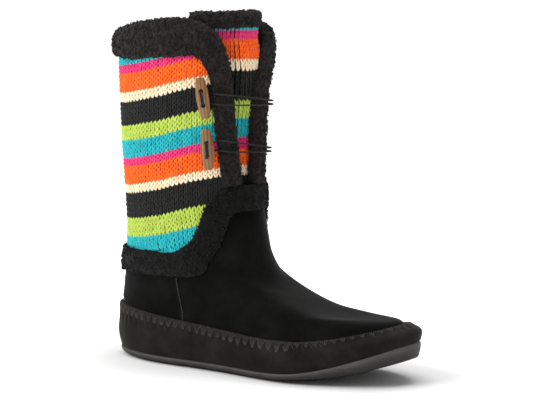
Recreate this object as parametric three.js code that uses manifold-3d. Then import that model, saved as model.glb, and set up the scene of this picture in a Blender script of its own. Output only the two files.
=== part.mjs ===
// A sweater boot for the right foot: a black suede moccasin foot on a thin rubber sole, and a striped
// knitted shaft that is open down the front, closed by two toggles and edged with curly fleece.
// Millimetres. +X runs from heel to toe, +Y to the inner (medial) side and +Z up; the floor is z = 0.
// Inside the functions x is measured from the back of the heel. The group moves the origin to the heel pad.
import * as THREE from 'three';
import { mergeVertices } from 'three/addons/utils/BufferGeometryUtils.js';
import Module from 'manifold-3d';

const wasm = await Module();
wasm.setup();

// Foot
const soleLength = 262;
const ballWidth = 98;
const instepHeight = 75;
const heelPadX = 36;
const toeSpring = 20.5;
const springStart = 141;
const springPower = 2.3;

// Outsole and insole
const soleThickness = 6;
const toeBumper = 7.2;
const toeBumperLength = 92;
const soleEdge = 3.1;
const soleBevel = 2.4;
const treadDepth = 1.5;
const archLift = 0.6;
const treadMargin = 7.3;
const barWidth = 5.5;
const barPitch = 12;
const padLength = 26;
const padWidth = 30;
const insoleThickness = 4;

// Shaft
const collarHeight = 258;
const collarRise = 10.5;
const collarDip = 8.5;
const collarDepth = 121;
const collarWidth = 88;
const ankleDepth = 111;
const ankleWidth = 80;

// Hem of the shaft, where the knit is sewn to the suede. The tongue's middle is measured round the shaft from
// the middle of the front opening.
const hemSideHeight = 77;
const tongueHeight = 129;
const tongueMiddle = -11;
const tongueFlat = 35;
const tongueCorner = 22;
const hemCorner = 45;
const hemAngle = 63;

// Front opening of the shaft, turned to the outer side of the foot
const slitAngle = 14.5;
const openingFoot = 22;
const openingTop = 29;

// Walls and trims
const suedeWall = 2;
const wrapWall = 1.8;
const wrapRoll = 1.2;
const knitWall = 3;
const gussetWall = 2.6;
const seatGap = 0.45;
const fleeceSeat = 0.75;
const soleGap = 0.2;
const jointGap = 0.8;
const fleecePile = 4.4;
const liningPile = 3;
const collarTrimDrop = 25;
const frontTrim = 12.5;
const liningDepth = 12;
const hemTrimWidth = 19.5;
const hemPile = 3.5;
const cuffPile = 4;
const cuffHeight = 10;
const gussetRise = 6;
const gussetHeight = collarHeight + gussetRise;
const gussetHalfWidth = 50;
const gussetClearWidth = 64;
const gussetFoot = 12;

// Toggles and their elastic loops
const toggleLength = 30;
const toggleWidth = 10;
const toggleThickness = 7;
const toggleEndWidth = 6;
const toggleHoleSpacing = 10.5;
const toggleHole = 3;
const toggleLift = 3.8;
const threadDiameter = 1.6;
const loopDiameter = 1.4;
const loopSpread = 7.5;
const loopLift = 1;

const mix = (a, b, t) => a + (b - a) * t;
const clamp01 = (t) => Math.min(1, Math.max(0, t));
const smooth = (t) => clamp01(t) ** 2 * (3 - 2 * clamp01(t));
const evenly = (count, from, to) => Array.from({ length: count + 1 }, (_, i) => mix(from, to, i / count));

// The sole's top and everything on it follows the toe spring.
const springAt = (x) => toeSpring * Math.max(0, (x - springStart) / (soleLength - springStart)) ** springPower;
const bumperAt = (x) => toeBumper * smooth((x - soleLength + toeBumperLength) / toeBumperLength);
const soleTopAt = (x) => soleThickness + bumperAt(x) + springAt(x);

// Rings of the foot, from the sole up to the front crease of the ankle. back, front: shares of soleLength.
// lateral, medial: half widths, and waist, swing: inward cut and inward turn, as shares of ballWidth.
// widest: share of the ring's length. heel, waistUp, ballUp, tip: heights over the sole, shares of instepHeight.
const footRings = [
  { name: 'feather', back: 0.020, front: 0.966, lateral: 0.445, medial: 0.425, widest: 0.65,
    heel: 0.003, waistUp: 0.003, ballUp: 0.003, tip: 0.003, waistOut: 0.08, waistIn: 0.13, swing: 0.085 },
  { name: 'cheek', back: 0.009, front: 0.972, lateral: 0.475, medial: 0.45, widest: 0.65,
    heel: 0.18, waistUp: 0.16, ballUp: 0.16, tip: 0.09, waistOut: 0.07, waistIn: 0.12, swing: 0.085 },
  { name: 'seam', back: 0.018, front: 0.935, lateral: 0.445, medial: 0.42, widest: 0.64,
    heel: 0.455, waistUp: 0.38, ballUp: 0.30, tip: 0.185, waistOut: 0.05, waistIn: 0.09, swing: 0.085 },
  { name: 'ledge', back: 0.012, front: 0.918, lateral: 0.415, medial: 0.39, widest: 0.62,
    heel: 0.525, waistUp: 0.455, ballUp: 0.405, tip: 0.26, waistOut: 0.03, waistIn: 0.06, swing: 0.08 },
  { name: 'plug', back: 0.015, front: 0.852, lateral: 0.395, medial: 0.375, widest: 0.59,
    heel: 0.60, waistUp: 0.55, ballUp: 0.54, tip: 0.355, waistOut: 0.02, waistIn: 0.03, swing: 0.065 },
  { name: 'vamp', back: 0.020, front: 0.772, lateral: 0.385, medial: 0.37, widest: 0.56,
    heel: 0.70, waistUp: 0.68, ballUp: 0.65, tip: 0.435, waistOut: 0.01, waistIn: 0.01, swing: 0.045 },
  { name: 'instep', back: 0.026, front: 0.688, lateral: 0.387, medial: 0.380, widest: 0.54,
    heel: 0.82, waistUp: 0.82, ballUp: 0.765, tip: 0.545, waistOut: 0, waistIn: 0, swing: 0.03 },
  { name: 'throat', back: 0.034, front: 0.612, lateral: 0.392, medial: 0.389, widest: 0.53,
    heel: 0.95, waistUp: 0.95, ballUp: 0.88, tip: 0.665, waistOut: 0, waistIn: 0, swing: 0.015 },
  { name: 'bend', back: 0.041, front: 0.548, lateral: 0.400, medial: 0.398, widest: 0.52,
    heel: 1.06, waistUp: 1.06, ballUp: 1.00, tip: 0.80, waistOut: 0, waistIn: 0, swing: 0.005 },
];

// Rings of the shaft, from the crease to above the collar. back: share of soleLength, as in the foot's rings.
// depth, width: 0 is the ankle's and 1 the collar's. up: share of collarHeight. rise: share of collarRise that
// the front stands higher. dip: share of collarDip that the back stands lower.
const shaftRings = [
  { name: 'crease', back: 0.045, depth: 0.92, width: 0, up: 0.352, rise: -0.70, dip: 0 },
  { name: 'ankle', back: 0.046, depth: 0.47, width: 0, up: 0.415, rise: -0.20, dip: 0 },
  { name: 'tongue', back: 0.043, depth: 0.17, width: 0.10, up: 0.500, rise: 0.40, dip: 0 },
  { name: 'calf', back: 0.034, depth: 0.50, width: 0.50, up: 0.66, rise: 0.80, dip: 0.2 },
  { name: 'upperCalf', back: 0.027, depth: 0.88, width: 0.80, up: 0.83, rise: 1.00, dip: 0.6 },
  { name: 'collar', back: 0.022, depth: 1.34, width: 1.00, up: 1.00, rise: 1.00, dip: 1 },
  { name: 'aboveCollar', back: 0.021, depth: 1.62, width: 1.05, up: 1.10, rise: 1.00, dip: 1 },
];

// Every ring in millimetres, with the same columns for foot and shaft.
function ringsInMillimetres() {
  const foot = footRings.map((ring) => ({
    back: ring.back * soleLength,
    front: ring.front * soleLength,
    lateral: ring.lateral * ballWidth,
    medial: ring.medial * ballWidth,
    widest: ring.widest,
    heights: [ring.heel, ring.waistUp, ring.ballUp, ring.tip].map((share) => share * instepHeight),
    waistOut: ring.waistOut * ballWidth,
    waistIn: ring.waistIn * ballWidth,
    swing: ring.swing * ballWidth,
  }));
  const shaft = shaftRings.map((ring) => {
    const depth = mix(ankleDepth, collarDepth, ring.depth);
    const width = mix(ankleWidth, collarWidth, ring.width);
    const height = ring.up * collarHeight - soleThickness;
    return {
      back: ring.back * soleLength,
      front: ring.back * soleLength + depth,
      lateral: width / 2,
      medial: width / 2,
      widest: 0.5,
      heights: [-0.5, -1 / 6, 1 / 6, 0.5].map((share) => (
        height + share * ring.rise * collarRise - (share < -0.4 ? ring.dip * collarDip : 0))),
      waistOut: 0,
      waistIn: 0,
      swing: 0,
    };
  });
  return foot.concat(shaft).map(({ heights, ...rest }) => (
    { ...rest, height0: heights[0], height1: heights[1], height2: heights[2], height3: heights[3] }));
}

const rings = ringsInMillimetres();
const lastLevel = rings.length - 1;
const levelNamed = (name) => [...footRings, ...shaftRings].findIndex((ring) => ring.name === name);
const seamLevel = levelNamed('seam');
const collarLevel = levelNamed('collar');
const heelSquareness = 2.25;
const frontSquareness = 2.05;

// A smooth curve through a column of the rings that never overshoots them.
function columnAt(column, level) {
  const index = Math.min(lastLevel - 1, Math.max(0, Math.floor(level)));
  const value = (i) => rings[Math.min(lastLevel, Math.max(0, i))][column];
  const slope = (i) => {
    const before = value(i) - value(i - 1);
    const after = value(i + 1) - value(i);
    return before * after <= 0 ? 0 : (2 * before * after) / (before + after);
  };
  const t = level - index;
  const [a, b] = [value(index), value(index + 1)];
  const [slopeA, slopeB] = [slope(index), slope(index + 1)];
  const cubic = 2 * a - 2 * b + slopeA + slopeB;
  const square = 3 * b - 3 * a - 2 * slopeA - slopeB;
  return ((cubic * t + square) * t + slopeA) * t + a;
}

const columns = Object.keys(rings[0]);
const ringAt = (level) => Object.fromEntries(columns.map((column) => [column, columnAt(column, level)]));

// The cubic through four heights at 0, 1/3, 2/3 and 1 of a ring's length.
function heightAlong(ring, t) {
  const weights = [
    -4.5 * (t - 1 / 3) * (t - 2 / 3) * (t - 1),
    13.5 * t * (t - 2 / 3) * (t - 1),
    -13.5 * t * (t - 1 / 3) * (t - 1),
    4.5 * t * (t - 1 / 3) * (t - 2 / 3),
  ];
  return weights.reduce((sum, weight, i) => sum + weight * ring[`height${i}`], 0);
}

// A point of the last. around: 0 is the back of the heel, half a turn the toe, and the outer side lies between.
function lastPoint(around, level) {
  const ring = ringAt(level);
  const along = Math.cos(around);
  const across = Math.sin(around);
  const squareness = along > 0 ? heelSquareness : frontSquareness;
  const reach = Math.abs(along) ** (2 / squareness);
  const spread = Math.abs(across) ** (2 / squareness);
  const t = along > 0 ? ring.widest * (1 - reach) : ring.widest + (1 - ring.widest) * reach;
  const x = mix(ring.back, ring.front, t);
  const waist = Math.max(0, 1 - ((t - 0.41) / 0.30) ** 2) ** 2;
  const half = across > 0 ? ring.lateral - ring.waistOut * waist : ring.medial - ring.waistIn * waist;
  const y = -Math.sign(across) * half * spread + ring.swing * smooth((t - 0.5) / 0.5);
  return new THREE.Vector3(x, y, heightAlong(ring, t) + soleTopAt(x));
}

function lastNormal(around, level) {
  const step = 0.02;
  const low = Math.max(0, level - step);
  const high = Math.min(lastLevel, level + step);
  const sideways = lastPoint(around + step, level).sub(lastPoint(around - step, level));
  const upward = lastPoint(around, high).sub(lastPoint(around, low));
  return sideways.cross(upward).normalize();
}

// The last's surface moved out by offset, or in where offset is negative.
const onLast = (around, level, offset) => lastPoint(around, level).addScaledVector(lastNormal(around, level), offset);

// The shaft unrolled: h runs round it from the middle of the front opening to the outer side, the back and the
// inner side, in millimetres at mid-calf, and z is the height over the floor.
const slitAround = Math.PI - THREE.MathUtils.degToRad(slitAngle);
const unrollSteps = 180;
const unrolled = [0];
for (let i = 1; i <= unrollSteps; i += 1) {
  const at = (k) => lastPoint(slitAround - (2 * Math.PI * k) / unrollSteps, levelNamed('calf'));
  unrolled.push(unrolled[i - 1] + at(i).distanceTo(at(i - 1)));
}
const girth = unrolled[unrollSteps];

function aroundAt(h) {
  const turns = Math.floor(h / girth);
  const rest = h - turns * girth;
  let i = 1;
  while (i < unrollSteps && unrolled[i] < rest) i += 1;
  const share = (rest - unrolled[i - 1]) / (unrolled[i] - unrolled[i - 1]);
  return slitAround - 2 * Math.PI * (turns + (i - 1 + share) / unrollSteps);
}

function levelAt(around, z) {
  let low = seamLevel;
  let high = lastLevel;
  for (let i = 0; i < 30; i += 1) {
    const middle = (low + high) / 2;
    if (lastPoint(around, middle).z < z) low = middle;
    else high = middle;
  }
  return (low + high) / 2;
}

function onShaft(h, z, offset) {
  const around = aroundAt(h);
  return onLast(around, levelAt(around, z), offset);
}

// Distance from the tongue's middle, the short way round.
function fromTongue(h) {
  const rest = h - tongueMiddle - girth * Math.floor((h - tongueMiddle) / girth);
  return Math.min(rest, girth - rest);
}

// The line where knit meets suede: low round the heel, and up over the rounded tongue of the vamp. Each side of
// the tongue is a straight slope between two arcs.
const hemTurn = THREE.MathUtils.degToRad(hemAngle);
const slopeFrom = { run: tongueCorner * Math.sin(hemTurn), drop: tongueCorner * (1 - Math.cos(hemTurn)) };
const slopeTo = { run: hemCorner * Math.sin(hemTurn), rise: hemCorner * (1 - Math.cos(hemTurn)) };
const slopeDrop = tongueHeight - hemSideHeight - slopeFrom.drop - slopeTo.rise;
const hemRun = slopeFrom.run + slopeTo.run + slopeDrop / Math.tan(hemTurn);

function hemHeight(h) {
  const run = fromTongue(h) - tongueFlat / 2;
  const left = hemRun - run;
  if (run <= 0) return tongueHeight;
  if (left <= 0) return hemSideHeight;
  if (run < slopeFrom.run) return tongueHeight - tongueCorner + Math.sqrt(tongueCorner ** 2 - run ** 2);
  if (left < slopeTo.run) return hemSideHeight + hemCorner - Math.sqrt(hemCorner ** 2 - left ** 2);
  return tongueHeight - slopeFrom.drop - (run - slopeFrom.run) * Math.tan(hemTurn);
}

const hemSlope = (h) => (hemHeight(h + 0.5) - hemHeight(h - 0.5));
const halfJoint = (h) => (jointGap / 2) * Math.hypot(1, hemSlope(h));

// The upper edge of the hem's fleece: the highest reach of a circle rolled along the hem line.
function aboveHemTrim(h, clear) {
  const reach = hemTrimWidth / 2 + clear;
  const heights = [];
  for (let i = -16; i <= 16; i += 1) {
    const aside = (reach * i) / 16;
    heights.push(hemHeight(h + aside) + Math.sqrt(reach ** 2 - aside ** 2));
  }
  return Math.max(...heights);
}

const collarEdge = (h) => lastPoint(aroundAt(h), collarLevel).z;

// A path of unrolled points cut again into even lengths.
function evenPath(path, count) {
  const lengths = [0];
  path.slice(1).forEach((p, i) => lengths.push(lengths[i] + Math.hypot(p.h - path[i].h, p.z - path[i].z)));
  const whole = lengths[lengths.length - 1];
  return evenly(count, 0, whole).map((length) => {
    let i = 1;
    while (i < path.length - 1 && lengths[i] < length) i += 1;
    const share = (length - lengths[i - 1]) / (lengths[i] - lengths[i - 1]);
    return { h: mix(path[i - 1].h, path[i].h, share), z: mix(path[i - 1].z, path[i].z, share) };
  });
}

// Positions round the shaft that follow the hem in even steps, closer together where it climbs.
const hemSteps = (count, from, to) => (
  evenPath(evenly(200, from, to).map((h) => ({ h, z: hemHeight(h) })), count).map((p) => p.h));

// Solids from grids of points

// A closed solid between two grids of the same size. Rows run along the first index. Where closed, the last
// row joins the first; otherwise both ends are capped. Points that meet are merged and flat faces dropped.
function slabSolid(outer, inner, closed) {
  const rows = outer.length;
  const lines = outer[0].length;
  const points = [...outer.flat(), ...inner.flat()];
  const outerAt = (i, j) => (i % rows) * lines + j;
  const innerAt = (i, j) => rows * lines + outerAt(i, j);
  const faces = [];
  const quad = (a, b, c, d) => faces.push([a, b, c], [a, c, d]);
  for (let i = 0; i < (closed ? rows : rows - 1); i += 1) {
    for (let j = 0; j < lines - 1; j += 1) {
      quad(outerAt(i, j), outerAt(i + 1, j), outerAt(i + 1, j + 1), outerAt(i, j + 1));
      quad(innerAt(i, j), innerAt(i, j + 1), innerAt(i + 1, j + 1), innerAt(i + 1, j));
    }
    quad(outerAt(i, 0), innerAt(i, 0), innerAt(i + 1, 0), outerAt(i + 1, 0));
    quad(outerAt(i, lines - 1), outerAt(i + 1, lines - 1), innerAt(i + 1, lines - 1), innerAt(i, lines - 1));
  }
  if (!closed) {
    for (let j = 0; j < lines - 1; j += 1) {
      quad(outerAt(0, j), outerAt(0, j + 1), innerAt(0, j + 1), innerAt(0, j));
      quad(outerAt(rows - 1, j), innerAt(rows - 1, j), innerAt(rows - 1, j + 1), outerAt(rows - 1, j + 1));
    }
  }
  return solidGeometry(points, faces);
}

function solidGeometry(points, faces) {
  const raw = new THREE.BufferGeometry();
  raw.setAttribute('position', new THREE.Float32BufferAttribute(points.flatMap((p) => p.toArray()), 3));
  raw.setIndex(faces.flat());
  const merged = mergeVertices(raw, 1e-3);
  const kept = [];
  let volume = 0;
  const corner = (i) => new THREE.Vector3().fromBufferAttribute(merged.attributes.position, i);
  for (let i = 0; i < merged.index.count; i += 3) {
    const [a, b, c] = [0, 1, 2].map((k) => merged.index.getX(i + k));
    if (a !== b && b !== c && a !== c) {
      kept.push([a, b, c]);
      volume += corner(a).dot(corner(b).cross(corner(c)));
    }
  }
  merged.setIndex((volume > 0 ? kept : kept.map(([a, b, c]) => [a, c, b])).flat());
  merged.computeVertexNormals();
  return merged;
}

function toManifold(geometry) {
  const bare = geometry.clone();
  bare.deleteAttribute('normal');
  bare.deleteAttribute('uv');
  const merged = mergeVertices(bare, 1e-3);
  return new wasm.Manifold(new wasm.Mesh({
    numProp: 3,
    vertProperties: merged.attributes.position.array,
    triVerts: new Uint32Array(merged.index.array),
  }));
}

function fromManifold(solid) {
  const mesh = solid.getMesh();
  const geometry = new THREE.BufferGeometry();
  geometry.setAttribute('position', new THREE.BufferAttribute(new Float32Array(mesh.vertProperties), 3));
  geometry.setIndex([...mesh.triVerts]);
  geometry.computeVertexNormals();
  return geometry;
}

// The two grids of a solid on the shaft. place(row, line) gives h, z, and the offsets of both faces.
function shaftSolid(rowValues, lineValues, place, closed) {
  const placed = rowValues.map((row) => lineValues.map((line) => place(row, line)));
  const grid = (side) => placed.map((line) => line.map((p) => onShaft(p.h, p.z, p[side])));
  return slabSolid(grid('outer'), grid('inner'), closed);
}

// Soles

// The sole's outline in plan, moved out by grow, at a share of the way round.
function planPoint(around, grow) {
  const point = lastPoint(around, 0);
  const along = lastPoint(around + 0.02, 0).sub(lastPoint(around - 0.02, 0));
  const outward = new THREE.Vector3(along.y, -along.x, 0).normalize();
  return point.addScaledVector(outward, grow);
}

// A plate under the foot: sections across the outline, each a closed line of levels down its two sides.
function plateSolid(levels, count, across) {
  const sections = evenly(count, 0, Math.PI).map((around) => {
    const shares = evenly(across, 0, 1);
    const side = (level) => {
      const outer = planPoint(around, level.grow);
      const inner = planPoint(-around, level.grow);
      return shares.map((share) => {
        const point = outer.clone().lerp(inner, share);
        point.z = level.height(point.x);
        return point;
      });
    };
    return levels.map(side);
  });
  const top = sections.map((section) => section[0]);
  const bottom = sections.map((section) => section[levels.length - 1]);
  const edges = (pick) => sections.map((section) => section.map((line) => line[pick]));
  return closePlate(top, bottom, edges(0), edges(across));
}

// Joins a plate's top, bottom and its two rows of edge levels into one closed solid.
function closePlate(top, bottom, outerEdge, innerEdge) {
  const points = [];
  const faces = [];
  const addGrid = (grid, flip) => {
    const start = points.length;
    const width = grid[0].length;
    grid.forEach((line) => points.push(...line));
    for (let i = 0; i < grid.length - 1; i += 1) {
      for (let j = 0; j < width - 1; j += 1) {
        const corners = [[i, j], [i + 1, j], [i + 1, j + 1], [i, j + 1]].map(([r, c]) => start + r * width + c);
        const [a, b, c, d] = flip ? corners.reverse() : corners;
        faces.push([a, b, c], [a, c, d]);
      }
    }
  };
  addGrid(top, false);
  addGrid(bottom, true);
  addGrid(outerEdge, true);
  addGrid(innerEdge, false);
  return solidGeometry(points, faces);
}

function treadBars() {
  const bars = [];
  const solePlan = (x) => {
    const shares = evenly(90, 0.02, Math.PI - 0.02);
    const nearest = (sign) => shares.map((around) => planPoint(sign * around, soleEdge - soleBevel))
      .reduce((best, p) => (Math.abs(p.x - x) < Math.abs(best.x - x) ? p : best));
    return { outer: nearest(1).y, inner: nearest(-1).y };
  };
  const addBar = (x, length, from, to) => {
    if (to - from < barWidth) return;
    const bar = new THREE.BoxGeometry(length, to - from, treadDepth * 2, 1, 1, 1);
    bar.translate(x, (from + to) / 2, treadDepth);
    const position = bar.attributes.position;
    for (let i = 0; i < position.count; i += 1) {
      position.setZ(i, position.getZ(i) + springAt(position.getX(i)));
    }
    bars.push(bar);
  };
  const zones = [
    { first: heelPadX - 2.5 * barPitch, last: heelPadX + 3.5 * barPitch, pad: heelPadX },
    { first: springStart - 5 * barPitch, last: soleLength - 3 * barPitch, pad: springStart - 1.5 * barPitch },
  ];
  zones.forEach(({ first, last, pad }) => {
    addBar(pad, padLength, -padWidth / 2, padWidth / 2);
    for (let x = first; x <= last; x += barPitch) {
      const { outer, inner } = solePlan(x);
      const from = outer + treadMargin;
      const to = inner - treadMargin;
      const besidePad = Math.abs(x - pad) < (padLength + barWidth) / 2 + 1;
      if (besidePad) {
        addBar(x, barWidth, from, -padWidth / 2 - 2);
        addBar(x, barWidth, padWidth / 2 + 2, to);
      } else {
        addBar(x, barWidth, from, to);
      }
    }
  });
  return bars;
}

function outsole() {
  const archAt = (x) => {
    const start = heelPadX + 4 * barPitch;
    const share = clamp01((x - start) / (springStart - 5 * barPitch - start));
    return archLift * Math.sin(Math.PI * share) ** 2;
  };
  const under = (x) => treadDepth + archAt(x) + springAt(x);
  const sole = plateSolid([
    { grow: soleEdge - 0.5, height: soleTopAt },
    { grow: soleEdge, height: (x) => mix(under(x), soleTopAt(x), 0.72) },
    { grow: soleEdge - soleBevel * 0.35, height: (x) => mix(under(x), soleTopAt(x), 0.30) },
    { grow: soleEdge - soleBevel, height: under },
  ], 32, 4);
  return fromManifold(treadBars().reduce((whole, bar) => whole.add(toManifold(bar)), toManifold(sole)));
}

function insole() {
  const edge = -suedeWall - seatGap;
  return plateSolid([
    { grow: edge - 0.6, height: (x) => soleTopAt(x) + seatGap + insoleThickness },
    { grow: edge, height: (x) => soleTopAt(x) + seatGap + insoleThickness * 0.7 },
    { grow: edge, height: (x) => soleTopAt(x) + seatGap },
  ], 24, 2);
}

// Suede foot

const girthColumns = hemSteps(44, 0, girth).slice(0, -1);
const aboveSole = (point) => point.setZ(Math.max(point.z, soleTopAt(point.x) + soleGap));

function suedeUpper() {
  const underWrap = evenly(4, 0, seamLevel);
  const grid = (offset) => girthColumns.map((h) => {
    const around = aroundAt(h);
    const top = levelAt(around, hemHeight(h) - halfJoint(h));
    return [...underWrap, ...evenly(9, seamLevel, top).slice(1)].map((level) => onLast(around, level, offset));
  });
  return slabSolid(grid(0), grid(-suedeWall), true);
}

// The strip that runs round the foot from the sole to the hand-sewn seam, thicker where its edge is rolled.
// up: share of the way from the sole to the seam.
function moccasinWrap() {
  const lines = [
    { up: 0, thickness: 0.55 },
    { up: 0.25, thickness: 1 },
    { up: 0.5, thickness: 1 },
    { up: 0.75, thickness: 1 },
    { up: 0.90, thickness: 1 + wrapRoll / wrapWall },
    { up: 1, thickness: 0.8 + wrapRoll / wrapWall },
    { up: 1.04, thickness: 0.35 },
  ];
  const grid = (offset) => girthColumns.map((h) => lines.map((line) => (
    aboveSole(onLast(aroundAt(h), line.up * seamLevel, offset(line))))));
  return slabSolid(grid((line) => seatGap + wrapWall * line.thickness), grid(() => seatGap), true);
}

// Knitted shaft

// The knit's two front edges. foot, top: distance from the middle of the opening at the hem and where the corner
// starts, as shares of openingFoot and openingTop. bend: height where it starts, as a share of collarHeight.
// out, corner: how far aside its rounding leans and how far round the shaft it reaches, as shares of
// collarWidth.
const flaps = {
  outer: { side: 1, foot: 0.36, top: 0.60, bend: 0.84, out: 0, corner: 0.43 },
  inner: { side: -1, foot: 0.32, top: 0.27, bend: 0.795, out: 0.10, corner: 0.80 },
};

function flapEdge(flap) {
  const foot = flap.side * flap.foot * openingFoot;
  const start = { h: foot, z: hemHeight(foot) + halfJoint(foot) };
  const bend = { h: flap.side * flap.top * openingTop, z: flap.bend * collarHeight };
  const endH = bend.h + flap.side * flap.corner * collarWidth;
  const leaning = (bend.h - start.h) / (bend.z - start.z);
  const end = { h: endH, z: collarEdge(endH) };
  const peak = { h: bend.h + leaning * (end.z - bend.z) + flap.side * flap.out * collarWidth, z: end.z };
  return { start, bend, peak, end };
}

// Half of the knit's upper edge as unrolled points: round its corner from where the front edge stops.
const cornerPath = ({ bend, peak, end }) => evenly(12, 0, 1).map((t) => ({
  h: mix(mix(bend.h, peak.h, t), mix(peak.h, end.h, t), t),
  z: mix(mix(bend.z, peak.z, t), mix(peak.z, end.z, t), t),
}));

const outerEdge = flapEdge(flaps.outer);
const innerEdge = flapEdge(flaps.inner);
const fullTurn = (p) => ({ h: p.h + girth, z: p.z });

// The knit's upper edge from the outer front corner round the back to the inner one.
function collarPath() {
  const back = evenly(60, outerEdge.end.h, innerEdge.end.h + girth).map((h) => ({ h, z: collarEdge(h) }));
  return [...cornerPath(outerEdge), ...back.slice(1, -1), ...cornerPath(innerEdge).map(fullTurn).reverse()];
}

function knitShaft() {
  const count = 40;
  const lower = hemSteps(count, outerEdge.start.h, innerEdge.start.h + girth);
  const upper = evenPath(collarPath(), count);
  const columnsOfKnit = upper.map((top, i) => (
    { top, foot: { h: lower[i], z: hemHeight(lower[i]) + halfJoint(lower[i]) } }));
  return shaftSolid(columnsOfKnit, evenly(7, 0, 1).map((row) => row ** 1.3), ({ top, foot }, share) => ({
    h: mix(foot.h, top.h, share),
    z: mix(foot.z, top.z, share),
    outer: 0,
    inner: -knitWall,
  }), false);
}

// The panel behind the front opening, from inside the suede tongue to above the collar.
// How far in the gusset lies: against the knit at its sides and foot, and deeper behind the opening, where
// the fleece edges of the flaps and its own cuff lie in front of it.
function gussetDepth(h, z) {
  const cleared = knitWall + 2 * seatGap + liningPile;
  const atCuff = cleared + cuffPile + seatGap;
  const towardSlit = 1 - smooth((Math.abs(h) - gussetClearWidth / 2) / 12);
  const towardCuff = smooth((z - gussetHeight + 4 * cuffHeight) / (2 * cuffHeight));
  const resting = knitWall + 1.5 * seatGap;
  return mix(mix(resting, cleared, towardSlit), atCuff, towardCuff);
}

function gussetPlace(side, up) {
  const h = side * gussetHalfWidth;
  const z = mix(hemHeight(h) - gussetFoot, gussetHeight, up);
  return { h, z };
}

function knitGusset() {
  return shaftSolid(evenly(10, -1, 1), evenly(10, 0, 1), (side, up) => {
    const { h, z } = gussetPlace(side, up);
    const depth = gussetDepth(h, z);
    return { h, z, outer: -depth, inner: -depth - gussetWall };
  }, false);
}

// Fleece

// Curls of the fleece as low lumps on its outer face.
const lumpHeight = 0.5;
const lumps = (h, z) => lumpHeight * Math.sin(h * 0.71 + 1.3 * Math.sin(z * 0.39)) * Math.cos(z * 0.83 + h * 0.22);

// Across an edging that folds over the knit's edge. along: distance in from the edge, as a share of the outer
// width where positive and of the lining's depth where negative. seat: whether the
// line sits on the wall's outer face (0) or its inner one (1). face: the pile's offset, in wall and pile.
const foldedEdge = [
  { along: 1, seat: 0, face: { wall: 0, outside: 0.25 } },
  { along: 0.8, seat: 0, face: { wall: 0, outside: 0.85 } },
  { along: 0.4, seat: 0, face: { wall: 0, outside: 1.05 } },
  { along: 0.05, seat: 0, face: { wall: 0, outside: 0.95 } },
  { beyond: 0.8, seat: 0, face: { wall: 0.1, outside: 0.45 } },
  { beyond: 0.8, seat: 1, face: { wall: 0.9, inside: 0.6 } },
  { along: -0.35, seat: 1, face: { wall: 1, inside: 1 } },
  { along: -1, seat: 1, face: { wall: 1, inside: 0.45 } },
];

// Places one line of an edging at a point of its edge, given the unit direction into the panel.
function edgingPlace(point, inward, line, sizes) {
  const { outerWidth, innerDepth, outsidePile, insidePile, wall, depth, crown } = sizes;
  const seatAlong = line.along === undefined ? -seatGap : line.along > 0 ? line.along * outerWidth
    : -line.along * innerDepth;
  const faceAlong = line.along === undefined ? -seatGap - line.beyond * crown : seatAlong;
  const clear = line.seat > 0 ? -wall * line.seat - seatGap : fleeceSeat;
  const face = -line.face.wall * wall + (line.face.outside ?? 0) * outsidePile
    - (line.face.inside ?? 0) * insidePile + (line.seat > 0 ? -seatGap : fleeceSeat);
  const at = (along) => ({ h: point.h + inward.h * along, z: point.z + inward.z * along });
  return { seatAt: at(seatAlong), faceAt: at(faceAlong), seat: clear - depth, face: face - depth };
}

// One solid from the stations of an edge. A station may move its points, to stand on another edge.
function edgingSolid(stations, sizes) {
  const still = (at) => at;
  const grids = stations.map(({ point, inward, outerWidth, move = still }) => foldedEdge.map((line) => {
    const place = edgingPlace(point, inward, line, { ...sizes, outerWidth });
    const [seatAt, faceAt] = [move(place.seatAt), move(place.faceAt)];
    const lump = line.along > 0.1 && line.along < 0.9 ? lumps(faceAt.h, faceAt.z) : 0;
    return {
      seat: onShaft(seatAt.h, seatAt.z, place.seat),
      face: onShaft(faceAt.h, faceAt.z, place.face + lump),
    };
  }));
  return slabSolid(grids.map((g) => g.map((p) => p.face)), grids.map((g) => g.map((p) => p.seat)), false);
}

// Unit directions into the panel at each point of an edge that runs with the panel on its right.
function inwardAt(path, i) {
  const before = path[Math.max(0, i - 1)];
  const after = path[Math.min(path.length - 1, i + 1)];
  const length = Math.hypot(after.h - before.h, after.z - before.z);
  return { h: (after.z - before.z) / length, z: -(after.h - before.h) / length };
}

// The fleece edging of the shaft: up the outer front edge, round the collar and down the inner front edge. Both
// ends stand on the upper edge of the hem's fleece.
function collarFleece() {
  const steps = 6;
  const around = 33;
  const rising = (edge) => evenly(steps, 0, 1).slice(0, -1).map((t) => (
    { h: mix(edge.start.h, edge.bend.h, t), z: mix(edge.start.z, edge.bend.z, t) }));
  const path = [...rising(outerEdge), ...evenPath(collarPath(), around), ...rising(innerEdge).map(fullTurn).reverse()];
  const stations = path.map((point, i) => {
    const fromFoot = Math.min(i, path.length - 1 - i);
    const standing = clamp01(1 - fromFoot / steps);
    const outerWidth = mix(frontTrim, collarEdge(point.h) - collarHeight + collarTrimDrop, smooth((fromFoot - steps) / 6));
    const move = (at) => {
      const need = aboveHemTrim(at.h, jointGap) - outerEdge.start.z - (at.z - point.z);
      return { h: at.h, z: at.z + need * standing };
    };
    return { point, inward: inwardAt(path, i), outerWidth, move };
  });
  return edgingSolid(stations, {
    innerDepth: liningDepth, outsidePile: fleecePile, insidePile: liningPile, wall: knitWall, depth: 0,
    crown: fleecePile * 0.95,
  });
}

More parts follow.
